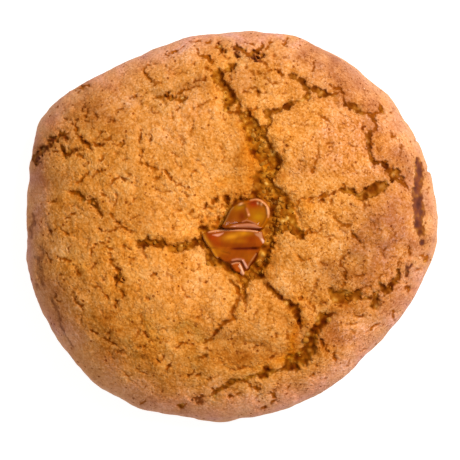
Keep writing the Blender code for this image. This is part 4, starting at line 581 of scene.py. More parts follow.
def sink(x, y):
    cx, cy = (SINK_CENTRE[0] - PLAN_CENTRE[0]) * PLAN_UNIT, (PLAN_CENTRE[1] - SINK_CENTRE[1]) * PLAN_UNIT
    return SINK * np.exp(-((x - cx) ** 2 + (y - cy) ** 2) / SINK_RADIUS ** 2)


def centring():
    a = np.linspace(0, 2 * math.pi, 721)
    x, y = OUTLINE_CENTRE[0] + outline(a, False) * np.cos(a), OUTLINE_CENTRE[1] + outline(a, False) * np.sin(a)
    return (x.min() + x.max()) / 2, (y.min() + y.max()) / 2, LENGTH_X / (x.max() - x.min())


CX, CY, FIT = centring()


def form(d):
    """Points of the smooth form for unit directions d: (points, how far along from the middle of the top to the middle of the base, share of the outline)."""
    s = np.arccos(np.clip(d[:, 2], -1, 1)) / math.pi
    a = np.arctan2(d[:, 1], d[:, 0])
    top, side = s < 0.68, (s >= 0.68) & (s < 0.9)
    t = np.where(top, np.sin(np.minimum(s, 0.68) / 0.68 * math.pi / 2), 0.0)
    u = np.clip((s - 0.68) / 0.22, 0, 1)
    t = np.where(side, 1.0 - (1.0 - BASE_RATIO) * u ** 2.4, t)
    t = np.where(s >= 0.9, (BASE_RATIO - 0.004) * (1.0 - (s - 0.9) / 0.1), t)
    z = np.where(top, dome(t), np.where(side, BELLY_Z * (1.0 - u), 0.0))
    r = t * outline(a)
    x, y = OUTLINE_CENTRE[0] + r * np.cos(a), OUTLINE_CENTRE[1] + r * np.sin(a)
    z = z - np.where(top, sink(x, y), 0.0)
    # the foot's edge is worn round
    foot = np.where(s > 0.68, np.exp(-((s - 0.9) / 0.012) ** 2), 0.0)
    z = z + 0.25 * foot
    return np.stack([(x - CX) * FIT, (y - CY) * FIT, z], 1), s, t


def build_surface(d):
    """Final points for unit directions d, and what the surface is like there."""
    p, s, t = form(d)
    px, py = plan_of(p[:, 0], p[:, 1], p[:, 2])
    upper = smooth(0.665, 0.60, s)
    lower = smooth(0.905, 0.885, s)
    rise = sample("rise", px, py) * upper
    # outward direction of the smooth form, leaned towards up on the top
    e = 1e-3
    ref = np.where(np.abs(d[:, 2:3]) < 0.9, np.array([[0.0, 0.0, 1.0]]), np.array([[1.0, 0.0, 0.0]]))
    t1 = np.cross(d, ref); t1 /= np.linalg.norm(t1, axis=1)[:, None]
    t2 = np.cross(d, t1)
    def unit(v): return v / np.linalg.norm(v, axis=1)[:, None]
    n = unit(np.cross(form(unit(d + e * t1))[0] - p, form(unit(d + e * t2))[0] - p))
    n = np.where((n * d).sum(1)[:, None] < 0, -n, n)
    lean = unit(n * np.array([1.0, 1.0, 1.0]) + np.array([0.0, 0.0, 1.8]) * upper[:, None])
    q = p + lean * rise[:, None]
    # the sides: lumps, grain and a few cracks that run down from the rim
    side = (1 - upper) * lower
    lumps = 0.30 * noise3(p, 9.0, 0) + 0.18 * noise3(p, 4.0, 1) + 0.10 * noise3(p, 1.9, 2) + 0.07 * noise3(p, 1.1, 3)
    stretched = p * np.array([1.0, 1.0, 0.55])
    wavy = stretched + 0.5 * np.stack([noise3(p, 1.8, 1), noise3(p, 1.8, 2), noise3(p, 1.8, 0)], 1)
    ridge = np.exp(-(noise3(wavy, 6.5, 3) / 0.06) ** 2) * smooth(-0.05, 0.40, noise3(p, 14.0, 2)) * smooth(0.655, 0.69, s)
    ridge = np.maximum(ridge, np.exp(-(noise3(stretched, 6.5, 3) / 0.055) ** 2) * smooth(0.15, 0.55, noise3(p, 14.0, 2)))
    # lower down the side there are more cracks, and pits
    below = smooth(0.70, 0.75, s)
    jagged = p + 0.45 * np.stack([noise3(p, 1.5, 0), noise3(p, 1.5, 1), noise3(p, 1.5, 2)], 1)
    ridge = np.maximum(ridge, below * np.exp(-(noise3(jagged * np.array([1.0, 1.0, 0.5]), 5.0, 1) / 0.06) ** 2) * smooth(0.0, 0.35, noise3(p + 31.0, 8.0, 2)))
    ridge = np.maximum(ridge, 0.8 * smooth(0.67, 0.72, s) * smooth(0.56, 0.76, noise3(p, 1.7, 0)))
    q = q + n * (side * (lumps - 0.55 * ridge))[:, None]
    # underside: very slightly uneven, with air pits, and never below the table
    under = 1 - lower
    dents = smooth(0.45, 0.8, noise3(p, 2.6, 1)) * 0.30 + smooth(0.35, 0.9, noise3(p, 7.0, 2)) * 0.25
    q[:, 2] += under * dents
    q[:, 2] = np.maximum(q[:, 2], 0.0)
    return q, {"px": px, "py": py, "s": s, "t": t, "upper": upper, "under": under, "side": side, "ridge": ridge * side, "p": p}


def target_edge(info, coarse):
    """How long a mesh edge may be, in millimetres."""
    gap = sample("gap", info["px"], info["py"])
    near = np.where(gap < 0.9, 0.285, np.where(gap < 2.4, 0.46, 0.68))
    near = np.where(gap < -2.0, 0.36, near)
    near = np.where(sample("pale", info["px"], info["py"]) > 0.15, np.minimum(near, 0.32), near)
    near = np.where((sample("pit", info["px"], info["py"]) > 0.25) & (near > 0.31), 0.31, near)
    length = near * info["upper"] + 0.72 * info["side"] + 1.2 * info["under"]
    return length * coarse


def refine(v, f, coarse, rounds):
    """Splits long edges, longest first, until each is short enough for its place."""
    for _ in range(rounds):
        q, info = build_surface(v)
        e = np.sort(f[:, [[0, 1], [1, 2], [2, 0]]].reshape(-1, 2), axis=1)
        key, inv = np.unique(e[:, 0].astype(np.int64) * len(v) + e[:, 1], return_inverse=True)
        inv = inv.reshape(-1, 3)
        a, b = key // len(v), key % len(v)
        mid = v[a] + v[b]
        mid /= np.linalg.norm(mid, axis=1)[:, None]
        d = q[a] - q[b]
        length = np.sqrt(d[:, 0] ** 2 + d[:, 1] ** 2 + (0.35 * d[:, 2]) ** 2)
        pa, _, _ = form(mid)
        mpx, mpy = plan_of(pa[:, 0], pa[:, 1], pa[:, 2])
        mi = {"px": mpx, "py": mpy, "upper": (info["upper"][a] + info["upper"][b]) / 2, "side": (info["side"][a] + info["side"][b]) / 2, "under": (info["under"][a] + info["under"][b]) / 2}
        cut = length > target_edge(mi, coarse)
        if not cut.any():
            break
        longest = inv[np.arange(len(f)), np.argmax(length[inv], axis=1)]
        while True:
            need = cut[inv].any(axis=1) & ~cut[longest]
            if not need.any():
                break
            cut[longest[need]] = True
        new = np.full(len(key), -1)
        new[cut] = len(v) + np.arange(cut.sum())
        v = np.concatenate([v, mid[cut]])
        m = new[inv]
        # turn each face so that its longest edge comes first
        k = np.argmax(length[inv], axis=1)
        rows = np.arange(len(f))
        order = (k[:, None] + np.arange(3)) % 3
        c = f[rows[:, None], order]
        m = m[rows[:, None], order]
        s0, s1, s2 = m[:, 0] >= 0, m[:, 1] >= 0, m[:, 2] >= 0
        out = [f[~s0]]
        def tri(mask, *cols):
            out.append(np.stack([x[mask] for x in cols], 1))
        A, B, C, M0, M1, M2 = c[:, 0], c[:, 1], c[:, 2], m[:, 0], m[:, 1], m[:, 2]
        only = s0 & ~s1 & ~s2
        tri(only, A, M0, C); tri(only, M0, B, C)
        two1 = s0 & s1 & ~s2
        tri(two1, M0, B, M1); tri(two1, A, M0, C); tri(two1, M0, M1, C)
        two2 = s0 & ~s1 & s2
        tri(two2, A, M0, M2); tri(two2, M0, B, C); tri(two2, M0, C, M2)
        three = s0 & s1 & s2
        tri(three, A, M0, M2); tri(three, M0, B, M1); tri(three, M2, M1, C); tri(three, M0, M1, M2)
        f = np.concatenate(out)
    return v, f


def mesh_from(name, verts, faces, smooth_shade=True):
    mesh = bpy.data.meshes.new(name)
    mesh.vertices.add(len(verts))
    mesh.vertices.foreach_set("co", np.ascontiguousarray(verts, dtype=np.float32).ravel())
    mesh.loops.add(faces.size)
    mesh.loops.foreach_set("vertex_index", np.ascontiguousarray(faces, dtype=np.int32).ravel())
    mesh.polygons.add(len(faces))
    k = faces.shape[1]
    mesh.polygons.foreach_set("loop_start", np.arange(0, faces.size, k, dtype=np.int32))
    mesh.update(calc_edges=True)
    mesh.validate()
    mesh.polygons.foreach_set("use_smooth", np.full(len(mesh.polygons), smooth_shade))
    obj = bpy.data.objects.new(name, mesh)
    bpy.context.scene.collection.objects.link(obj)
    return obj


def attribute(obj, name, values):
    att = obj.data.attributes.new(name, "FLOAT", "POINT")
    att.data.foreach_set("value", np.ascontiguousarray(values, dtype=np.float32))


def lay_flat(obj, faces, d):
    """A map of the biscuit: the top and the side spread out on one disc, the base on a smaller one."""
    along = np.linspace(0, 1, 2001)
    p = form(np.stack([np.sin(along * math.pi), 0 * along, np.cos(along * math.pi)], 1))[0]
    run = np.concatenate([[0], np.cumsum(np.linalg.norm(p[1:] - p[:-1], axis=1))])
    s, a = np.arccos(np.clip(d[:, 2], -1, 1)) / math.pi, np.arctan2(d[:, 1], d[:, 0])
    out = np.interp(s, along, run)
    back = run[-1] - out
    base = s[faces].mean(1) > 0.9
    out, back = 0.415 * out / out[faces[~base]].max(), 0.13 * back / back[faces[base]].max()
    top = np.stack([0.425 + out * np.cos(a), 0.575 + out * np.sin(a)], 1)
    low = np.stack([0.86 - back * np.cos(a), 0.14 + back * np.sin(a)], 1)
    uv = np.where(base[:, None, None], low[faces], top[faces])
    layer = obj.data.uv_layers.new(name="OFBake")
    if len(obj.data.polygons) == len(faces):
        layer.uv.foreach_set("vector", np.ascontiguousarray(uv, dtype=np.float32).ravel())
    else:
        obj.data.uv_layers.remove(layer)


def icosphere(level):
    bm = bmesh.new()
    bmesh.ops.create_icosphere(bm, subdivisions=level, radius=1.0)
    bm.verts.ensure_lookup_table()
    v = np.array([tuple(x.co) for x in bm.verts], dtype=float)
    f = np.array([[x.index for x in face.verts] for face in bm.faces])
    bm.free()
    return v / np.linalg.norm(v, axis=1)[:, None], f


def vertex_normals(q, f):
    n = np.cross(q[f[:, 1]] - q[f[:, 0]], q[f[:, 2]] - q[f[:, 0]])
    out = np.zeros_like(q)
    for k in range(3):
        np.add.at(out, f[:, k], n)
    return out / np.maximum(np.linalg.norm(out, axis=1), 1e-12)[:, None]


COARSE = 1.0
V, F = refine(*icosphere(5), COARSE, 14)
Q, INFO = build_surface(V)
N = vertex_normals(Q, F)
px, py = INFO["px"], INFO["py"]
FLOOR = sample("floor", px, py) * INFO["upper"]
rough_wall = FLOOR * 0.045 * noise3(Q, 1.2, 0)
Q = Q + N * rough_wall[:, None]
Q[:, 2] = np.maximum(Q[:, 2], 0.0)
print("BISCUIT", len(V), "points", len(F), "faces", Q.min(0), Q.max(0))

biscuit = mesh_from("biscuit_crust", Q * MM, F)
lay_flat(biscuit, F, V)
attribute(biscuit, "crumb", FLOOR)
attribute(biscuit, "thin", sample("thin", px, py) * INFO["upper"])
attribute(biscuit, "deep", np.clip(sample("cut", px, py) / 1.4, 0, 1) * INFO["upper"])
attribute(biscuit, "edge", sample("edge", px, py) * INFO["upper"])
attribute(biscuit, "pit", np.maximum(sample("pit", px, py) * INFO["upper"], INFO["ridge"]))
attribute(biscuit, "streak", sample("streak", px, py) * INFO["upper"])
attribute(biscuit, "tone", sample("tone", px, py) * INFO["upper"])
attribute(biscuit, "high", sample("high", px, py) * INFO["upper"])
attribute(biscuit, "lump", sample("crumbs", px, py) * INFO["upper"])
attribute(biscuit, "dark", sample("dark", px, py) * INFO["upper"])
attribute(biscuit, "pale", sample("pale", px, py) * INFO["upper"])
for name in ("brown_and_shade", "blush_and_sheen", "gild", "fair", "amber_and_lit", "dusk_shade", "ashen_and_sheen", "bank", "worn", "olive_shade"):
    attribute(biscuit, name, sample(name, px, py) * INFO["upper"])
attribute(biscuit, "rim", smooth(0.40, 0.66, INFO["s"]))
attribute(biscuit, "under", INFO["under"])
attribute(biscuit, "low", smooth(0.67, 0.90, INFO["s"]))
attribute(biscuit, "ring", np.exp(-((INFO["s"] - 0.905) / 0.018) ** 2))


# ------------------------------------------------------------------------------------------------------------------
# Materials
class Nodes:
    def __init__(self, name):
        self.mat = bpy.data.materials.new(name)
        self.mat.use_nodes = True
        self.tree = self.mat.node_tree
        self.tree.nodes.clear()
        self.out = self.tree.nodes.new("ShaderNodeOutputMaterial")
        self.shader = self.tree.nodes.new("ShaderNodeBsdfPrincipled")
        self.tree.links.new(self.shader.outputs[0], self.out.inputs["Surface"])
        self.coords = self.tree.nodes.new("ShaderNodeTexCoord")

    def link(self, a, b):
        self.tree.links.new(a, b)

    def _put(self, node, key, value):
        if isinstance(value, bpy.types.NodeSocket):
            self.tree.links.new(value, node.inputs[key])
        else:
            node.inputs[key].default_value = value

    def attr(self, name):
        node = self.tree.nodes.new("ShaderNodeAttribute")
        node.attribute_type = "GEOMETRY"
        node.attribute_name = name
        return node.outputs["Fac"]

    def noise(self, size_mm, detail=3.0, rough=0.55, distort=0.0):
        node = self.tree.nodes.new("ShaderNodeTexNoise")
        node.inputs["Scale"].default_value = 1000.0 / size_mm
        node.inputs["Detail"].default_value = detail
        node.inputs["Roughness"].default_value = rough
        node.inputs["Distortion"].default_value = distort
        self.link(self.coords.outputs["Object"], node.inputs["Vector"])
        return node.outputs["Fac"]

    def voronoi(self, size_mm, feature="F1"):
        node = self.tree.nodes.new("ShaderNodeTexVoronoi")
        node.feature = feature
        node.inputs["Scale"].default_value = 1000.0 / size_mm
        self.link(self.coords.outputs["Object"], node.inputs["Vector"])
        return node.outputs["Distance"]

    def holes(self, size_mm, least, spread, soft):
        """Round pinholes: about 1 inside one, each with its own radius, which is a share of the spacing."""
        node = self.tree.nodes.new("ShaderNodeTexVoronoi")
        node.inputs["Scale"].default_value = 1000.0 / size_mm
        self.link(self.coords.outputs["Object"], node.inputs["Vector"])
        split = self.tree.nodes.new("ShaderNodeSeparateColor")
        self.link(node.outputs["Color"], split.inputs[0])
        radius = self.math("MULTIPLY_ADD", split.outputs[0], spread, least)
        return self.math("DIVIDE", self.math("SUBTRACT", radius, node.outputs["Distance"]), soft, clamp=True)

    def seams(self, size_mm, width):
        """Jagged hairlines along the edges of cells: 1 on an edge, 0 at that share of the spacing away from it."""
        swirl = self.tree.nodes.new("ShaderNodeTexNoise")
        swirl.inputs["Scale"].default_value = 1000.0 / 0.9
        swirl.inputs["Detail"].default_value = 1.0
        self.link(self.coords.outputs["Object"], swirl.inputs["Vector"])
        push = self.tree.nodes.new("ShaderNodeVectorMath")
        push.operation = "MULTIPLY_ADD"
        self.link(swirl.outputs["Color"], push.inputs[0])
        push.inputs[1].default_value = (0.7 * MM, 0.7 * MM, 0.7 * MM)
        self.link(self.coords.outputs["Object"], push.inputs[2])
        node = self.tree.nodes.new("ShaderNodeTexVoronoi")
        node.feature = "DISTANCE_TO_EDGE"
        node.inputs["Scale"].default_value = 1000.0 / size_mm
        self.link(push.outputs[0], node.inputs["Vector"])
        return self.remap(node.outputs["Distance"], 0.25 * width, width, 1.0, 0.0)

    def math(self, op, a, b=0.0, c=0.0, clamp=False):
        node = self.tree.nodes.new("ShaderNodeMath")
        node.operation = op
        node.use_clamp = clamp
        self._put(node, 0, a)
        self._put(node, 1, b)
        if op in ("MULTIPLY_ADD",):
            self._put(node, 2, c)
        return node.outputs[0]

    def remap(self, x, a, b, c=0.0, d=1.0, kind="SMOOTHSTEP"):
        node = self.tree.nodes.new("ShaderNodeMapRange")
        node.interpolation_type = kind
        self._put(node, "Value", x)
        for key, value in (("From Min", a), ("From Max", b), ("To Min", c), ("To Max", d)):
            node.inputs[key].default_value = value
        return node.outputs[0]

    def mix(self, fac, a, b, mode="MIX"):
        node = self.tree.nodes.new("ShaderNodeMix")
        node.data_type = "RGBA"
        node.blend_type = mode
        node.clamp_factor = True
        self._put(node, 0, fac)
        for key, value in ((6, a), (7, b)):
            if isinstance(value, tuple):
                value = (*value, 1.0) if len(value) == 3 else value
            self._put(node, key, value)
        return node.outputs[2]

    def ramp(self, x, stops):
        node = self.tree.nodes.new("ShaderNodeValToRGB")
        els = node.color_ramp.elements
        while len(els) > 1:
            els.remove(els[0])
        els[0].position, els[0].color = stops[0][0], (*stops[0][1], 1.0)
        for pos, col in stops[1:]:
            el = els.new(pos)
            el.color = (*col, 1.0)
        self._put(node, 0, x)
        return node.outputs["Color"]

    def bump(self, height, strength, distance_mm, normal=None):
        node = self.tree.nodes.new("ShaderNodeBump")
        node.inputs["Strength"].default_value = strength
        node.inputs["Distance"].default_value = distance_mm * MM
        self._put(node, "Height", height)
        if normal is not None:
            self.link(normal, node.inputs["Normal"])
        return node.outputs[0]


def crust_material():
    m = Nodes("baked_crust")
    crumb, deep, edge, pit, streak, tone, rim, under, high, lump, dark, pale = (m.attr(k) for k in ("crumb", "deep", "edge", "pit", "streak", "tone", "rim", "under", "high", "lump", "dark", "pale"))
    brown_and_shade, blush_and_sheen, gild, fair, amber_and_lit, dusk_shade, thin, ashen_and_sheen, bank, worn, olive_shade = (m.attr(k) for k in ("brown_and_shade", "blush_and_sheen", "gild", "fair", "amber_and_lit", "dusk_shade", "thin", "ashen_and_sheen", "bank", "worn", "olive_shade"))
    big, mid, fine, dust = m.noise(9.0, 2.0), m.noise(2.4, 3.0), m.noise(0.75, 3.0, 0.6), m.noise(0.33, 2.0, 0.6)
    pebbles = m.voronoi(0.50, "SMOOTH_F1")
    grit = m.voronoi(0.36)
    clumps = m.voronoi(1.05, "SMOOTH_F1")
    # pinholes and hairline cracks of the skin, in patches
    skin = m.math("SUBTRACT", 1.0, m.math("MAXIMUM", crumb, under))
    pores = m.math("MULTIPLY", m.holes(1.25, 0.08, 0.17, 0.05), m.remap(m.noise(6.0, 2.0), 0.36, 0.56, 0.30, 1.0))
    crazed = m.math("MULTIPLY", m.remap(m.noise(2.3, 1.0), 0.51, 0.58), m.remap(m.noise(11.0, 2.0), 0.42, 0.60, 0.15, 1.0))
    crazing = m.math("MULTIPLY", m.seams(1.9, 0.032), m.math("MULTIPLY", crazed, 0.55))
    pores = m.math("MAXIMUM", pores, m.math("MULTIPLY", m.holes(0.80, 0.01, 0.26, 0.08), m.math("MULTIPLY_ADD", worn, 0.30, 0.50)))
    dashes = m.math("MULTIPLY", m.seams(1.35, 0.055), m.remap(m.noise(1.5, 1.0), 0.53, 0.60))
    crazing = m.math("MAXIMUM", crazing, m.math("MULTIPLY", dashes, m.math("MULTIPLY_ADD", worn, 0.22, 0.42)))
    fine_marks = m.math("MULTIPLY", m.math("MAXIMUM", pores, crazing), skin)
    coarse = m.math("MULTIPLY_ADD", worn, 0.20, m.math("MULTIPLY_ADD", m.attr("low"), 0.35, m.remap(rim, 0.35, 1.0, 0.97, 0.74)))
    v = m.math("MULTIPLY_ADD", tone, 0.050, 0.594)
    v = m.math("MULTIPLY_ADD", m.math("SUBTRACT", big, 0.5), 0.24, v)
    v = m.math("MULTIPLY_ADD", m.math("SUBTRACT", mid, 0.5), 0.10, v)
    w = m.math("MULTIPLY", m.math("SUBTRACT", fine, 0.5), 0.23)
    w = m.math("MULTIPLY_ADD", m.math("SUBTRACT", dust, 0.5), 0.52, w)
    w = m.math("MULTIPLY_ADD", m.math("SUBTRACT", 0.40, pebbles), 0.33, w)
    v = m.math("MULTIPLY_ADD", w, coarse, v)
    # painted highlight: paler along the lips of the wide cracks
    v = m.math("MULTIPLY_ADD", edge, 0.07, v)
    # paler on the raised grain and darker in its dips: painted light and shade of the relief
    v = m.math("MULTIPLY_ADD", high, 0.030, v)
    crust = m.ramp(v, [(0.10, (0.25, 0.051, 0.0008)), (0.34, (0.473, 0.135, 0.009)), (0.52, (0.680, 0.244, 0.036)), (0.70, (0.840, 0.374, 0.108)), (0.92, (0.935, 0.545, 0.245))])
    # the rim is paler and less yellow: a painted sheen of the bright surroundings on the steep rim
    crust = m.mix(m.math("MULTIPLY", rim, 0.85), crust, m.mix(0.55, crust, (0.615, 0.310, 0.183)))
    crust = m.mix(m.math("MULTIPLY", m.remap(rim, 0.75, 1.0), 0.30), crust, (0.685, 0.385, 0.243))
    # and browner again towards the tray
    low = m.math("MULTIPLY_ADD", m.math("SUBTRACT", big, 0.5), 0.9, m.attr("low"))
    crust = m.mix(m.remap(low, 0.05, 0.55), crust, m.mix(1.0, crust, (0.88, 0.74, 0.50), "MULTIPLY"))
    crust = m.mix(m.remap(low, 0.55, 1.10), crust, m.mix(1.0, crust, (0.66, 0.54, 0.42), "MULTIPLY"))
    # bare crumb in the cracks
    cv = m.math("MULTIPLY_ADD", m.math("SUBTRACT", fine, 0.5), 0.25, 0.45)
    cv = m.math("MULTIPLY_ADD", m.math("SUBTRACT", mid, 0.5), 0.60, cv)
    cv = m.math("MULTIPLY_ADD", m.math("SUBTRACT", 0.42, clumps), 1.00, cv)
    cv = m.math("MULTIPLY_ADD", lump, 0.17, cv)
    cv = m.math("MULTIPLY_ADD", pale, 0.40, cv)
    bare = m.ramp(cv, [(0.05, (0.17, 0.032, 0.0006)), (0.42, (0.335, 0.093, 0.0026)), (0.66, (0.48, 0.172, 0.013)), (0.85, (0.63, 0.28, 0.045)), (1.0, (0.80, 0.45, 0.13))])
    # thin cracks get a dark red-brown, partly the crumb's own colour and partly painted shade of their depth
    bare = m.mix(thin, bare, (0.36, 0.086, 0.0018))
    col = m.mix(crumb, crust, bare)
    col = m.mix(bank, col, m.mix(1.0, col, (0.88, 0.81, 0.60), "MULTIPLY"))
    # The patch tints follow. The pinker and greyer ones are partly a painted sheen on the rim, the browned and olive
    # ones partly painted shade, the orange ones partly painted light, and the dark purple-brown one painted shade in
    # the recess at the right rim.
    col = m.mix(ashen_and_sheen, col, m.mix(1.0, col, (0.985, 1.05, 1.30), "MULTIPLY"))
    col = m.mix(olive_shade, col, m.mix(1.0, col, (0.80, 0.90, 0.86), "MULTIPLY"))
    col = m.mix(fair, col, m.mix(1.0, col, (1.16, 1.15, 1.10), "MULTIPLY"))
    col = m.mix(brown_and_shade, col, m.mix(1.0, col, (0.60, 0.50, 0.45), "MULTIPLY"))
    col = m.mix(gild, col, m.mix(1.0, col, (1.02, 0.94, 0.62), "MULTIPLY"))
    col = m.mix(amber_and_lit, col, m.mix(1.0, col, (1.00, 0.82, 0.20), "MULTIPLY"))
    col = m.mix(blush_and_sheen, col, m.mix(1.0, col, (0.97, 0.945, 1.48), "MULTIPLY"))
    # painted shade: darker where the cut is deeper
    col = m.mix(m.math("MULTIPLY", deep, 0.06), col, m.mix(1.0, col, (0.70, 0.50, 0.30), "MULTIPLY"))
    # painted shade deep in the cracks
    col = m.mix(m.math("MULTIPLY", dark, 0.85), col, m.mix(1.0, col, (0.54, 0.35, 0.14), "MULTIPLY"))
    # painted shade in the recess at the right rim and on the shaded rim
    recess_shade = m.math("MULTIPLY", dusk_shade, m.math("MAXIMUM", crumb, streak))
    col = m.mix(recess_shade, col, m.mix(0.90, col, (0.190, 0.052, 0.028)))
    col = m.mix(m.math("MULTIPLY", recess_shade, dark), col, m.mix(0.88, col, (0.075, 0.021, 0.014)))
    col = m.mix(m.math("MULTIPLY", pit, 0.80), col, m.mix(1.0, col, (0.58, 0.38, 0.13), "MULTIPLY"))
    col = m.mix(m.math("MULTIPLY", fine_marks, 0.92), col, m.mix(1.0, col, (0.46, 0.25, 0.08), "MULTIPLY"))
    col = m.mix(m.math("MULTIPLY", streak, 0.65), col, m.mix(1.0, col, (0.55, 0.42, 0.38), "MULTIPLY"))
    # underside, browned on the tray
    spots = m.math("MULTIPLY_ADD", m.math("SUBTRACT", m.noise(7.0, 3.0, 0.6), 0.5), 0.9, 0.50)
    spots = m.math("MULTIPLY_ADD", m.math("SUBTRACT", m.noise(0.8, 4.0, 0.65), 0.5), 0.75, spots)
    spots = m.math("MULTIPLY_ADD", m.math("SUBTRACT", 0.40, pebbles), 0.25, spots)
    spots = m.math("MULTIPLY_ADD", m.attr("ring"), -0.26, spots)
    tray = m.ramp(spots, [(0.15, (0.13, 0.034, 0.006)), (0.42, (0.29, 0.094, 0.016)), (0.62, (0.42, 0.160, 0.034)), (0.9, (0.56, 0.26, 0.075))])
    tray = m.mix(m.math("MULTIPLY", m.holes(2.3, 0.04, 0.22, 0.05), 0.85), tray, (0.10, 0.026, 0.005))
    tray = m.mix(m.math("MULTIPLY", m.seams(6.5, 0.020), m.remap(m.noise(9.0, 2.0), 0.45, 0.60, 0.0, 0.7)), tray, (0.12, 0.032, 0.006))
    col = m.mix(under, col, tray)
    m.link(col, m.shader.inputs["Base Color"])
    rough = m.remap(fine, 0.2, 0.8, 0.62, 0.86)
    m.link(rough, m.shader.inputs["Roughness"])
    m.shader.inputs["Specular IOR Level"].default_value = 0.02
    h = m.math("MULTIPLY_ADD", fine, 0.40, m.math("MULTIPLY", pebbles, -0.95))
    h = m.math("MULTIPLY_ADD", dust, 0.40, h)
    h = m.math("MULTIPLY_ADD", grit, -0.30, h)
    h = m.math("MULTIPLY", h, m.remap(crumb, 0.0, 1.0, 1.0, 0.55, "LINEAR"))
    h = m.math("MULTIPLY_ADD", m.math("MULTIPLY", m.math("SUBTRACT", clumps, 0.42), crumb), -1.1, h)
    h = m.math("MULTIPLY_ADD", fine_marks, -0.5, h)
    nrm = m.bump(h, 0.80, 0.16)
    m.link(nrm, m.shader.inputs["Normal"])
    return m.mat


biscuit.data.materials.append(crust_material())
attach(biscuit, "root")
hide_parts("biscuit")

# ------------------------------------------------------------------------------------------------------------------
# Loose crumbs that lie in the wide fissures and round the caramel, half sunk in the crumbly floor
def inside(points, x, y):
    hit = np.zeros(x.shape, bool)
    for (xa, ya), (xb, yb) in zip(points, points[1:] + points[:1]):
        if ya != yb:
            hit ^= ((ya > y) != (yb > y)) & (x < xa + (y - ya) / (yb - ya) * (xb - xa))
    return hit


def scatter_crumbs(count):
    rng = np.random.default_rng(77)
    v0, f0 = icosphere(3)
    gap = sample("gap", px, py)
    wide_enough = sum(inside(BEDS[k][2], px, py).astype(float) * share for k, share in ((0, 0.7), (2, 1.0), (3, 0.5), (6, 0.5), (9, 0.2), (10, 0.3), (11, 0.3), (13, 0.2), (14, 0.4), (15, 0.8), (16, 1.6), (17, 1.0)))
    caramel = inside([(200, 236), (222, 222), (230, 207), (252, 196), (270, 202), (272, 216), (266, 232), (267, 244), (258, 266), (246, 279), (234, 275), (212, 262)], px, py)
    chance = np.where((FLOOR > 0.75) & (gap < -1.4) & ~caramel & (sample("dark", px, py) < 0.35), wide_enough, 0.0)
    # faces are smaller in the cracks, so each vertex counts for the room that it has
    room = np.zeros(len(Q))
    size = np.linalg.norm(np.cross(Q[F[:, 1]] - Q[F[:, 0]], Q[F[:, 2]] - Q[F[:, 0]]), axis=1)
    for k in range(3):
        np.add.at(room, F[:, k], size)
    chance = chance * room
    picks = rng.choice(len(Q), size=count, replace=False, p=chance / chance.sum())
    verts, faces, shade = [], [], []
    for i, at in enumerate(picks):
        r = 0.30 + 0.34 * rng.random() ** 1.5
        turn = rng.uniform(-1, 1, (3, 3))
        q, _ = np.linalg.qr(turn)
        p = v0 * (1.0 + 0.22 * noise3(v0 + i * 3.7, 0.9, 0) + 0.10 * noise3(v0 + i * 1.9, 0.42, 1))[:, None]
        p = (p * np.array([1.0, rng.uniform(0.7, 1.0), rng.uniform(0.6, 0.9)])) @ q.T * r
        p = p + Q[at] + N[at] * r * rng.uniform(-0.82, -0.36)
        faces.append(f0 + len(verts) * len(v0))
        verts.append(p)
        shade.append(np.full(len(v0), rng.random()))
    obj = mesh_from("loose_crumbs", np.concatenate(verts) * MM, np.concatenate(faces))
    attribute(obj, "shade", np.concatenate(shade))
    return obj


def crumb_material():
    m = Nodes("loose_crumb")
    shade, fine, mid = m.attr("shade"), m.noise(0.30, 3.0, 0.6), m.noise(0.9, 2.0)
    v = m.math("MULTIPLY_ADD", m.math("SUBTRACT", fine, 0.5), 0.5, shade)
    v = m.math("MULTIPLY_ADD", m.math("SUBTRACT", mid, 0.5), 0.5, v)
    col = m.ramp(v, [(0.0, (0.27, 0.062, 0.0012)), (0.45, (0.35, 0.108, 0.005)), (0.80, (0.42, 0.148, 0.012)), (1.0, (0.50, 0.205, 0.030))])
    m.link(col, m.shader.inputs["Base Color"])
    m.shader.inputs["Roughness"].default_value = 0.8
    m.shader.inputs["Specular IOR Level"].default_value = 0.04
    m.link(m.bump(fine, 0.2, 0.05), m.shader.inputs["Normal"])
    return m.mat


crumbs_piece = scatter_crumbs(240)
crumbs_piece.data.materials.append(crumb_material())
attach(crumbs_piece, "root")

# ------------------------------------------------------------------------------------------------------------------
# The caramel: two broken pieces of a glossy sheet
def ring(points, n, soft):
    """n points spaced evenly round a closed outline, its corners eased."""
    q = np.array(list(points) + [points[0]], float)
    run = np.concatenate([[0], np.cumsum(np.hypot(*(q[1:] - q[:-1]).T))])
    t = np.linspace(0, run[-1], n, endpoint=False)
    xy = np.stack([np.interp(t, run, q[:, 0]), np.interp(t, run, q[:, 1])], 1)
    w = np.exp(-2 * (math.pi * np.fft.fftfreq(n) * soft * n / run[-1]) ** 2)
    return np.fft.ifft(np.fft.fft(xy, axis=0) * w[:, None], axis=0).real


def off(points, x, y):
    """Distance, in plan units, from a line of points."""
    d = np.full(x.shape, 1e3)
    for (xa, ya), (xb, yb) in zip(points, points[1:]):
        dx, dy = xb - xa, yb - ya
        t = np.clip(((x - xa) * dx + (y - ya) * dy) / (dx * dx + dy * dy), 0, 1)
        d = np.minimum(d, np.hypot(x - xa - t * dx, y - ya - t * dy))
    return d


def ridge(points, width, x, y):
    return np.exp(-(off(points, x, y) / width) ** 2)


def blob(x, y, px, py, ra, rb, turn=0.0):
    c, s = math.cos(math.radians(turn)), math.sin(math.radians(turn))
    u, w = (x - px) * c + (y - py) * s, -(x - px) * s + (y - py) * c
    return np.exp(-(u / ra) ** 2 - (w / rb) ** 2)


def steps(x, *pairs):
    return np.interp(x, pairs[0::2], pairs[1::2])


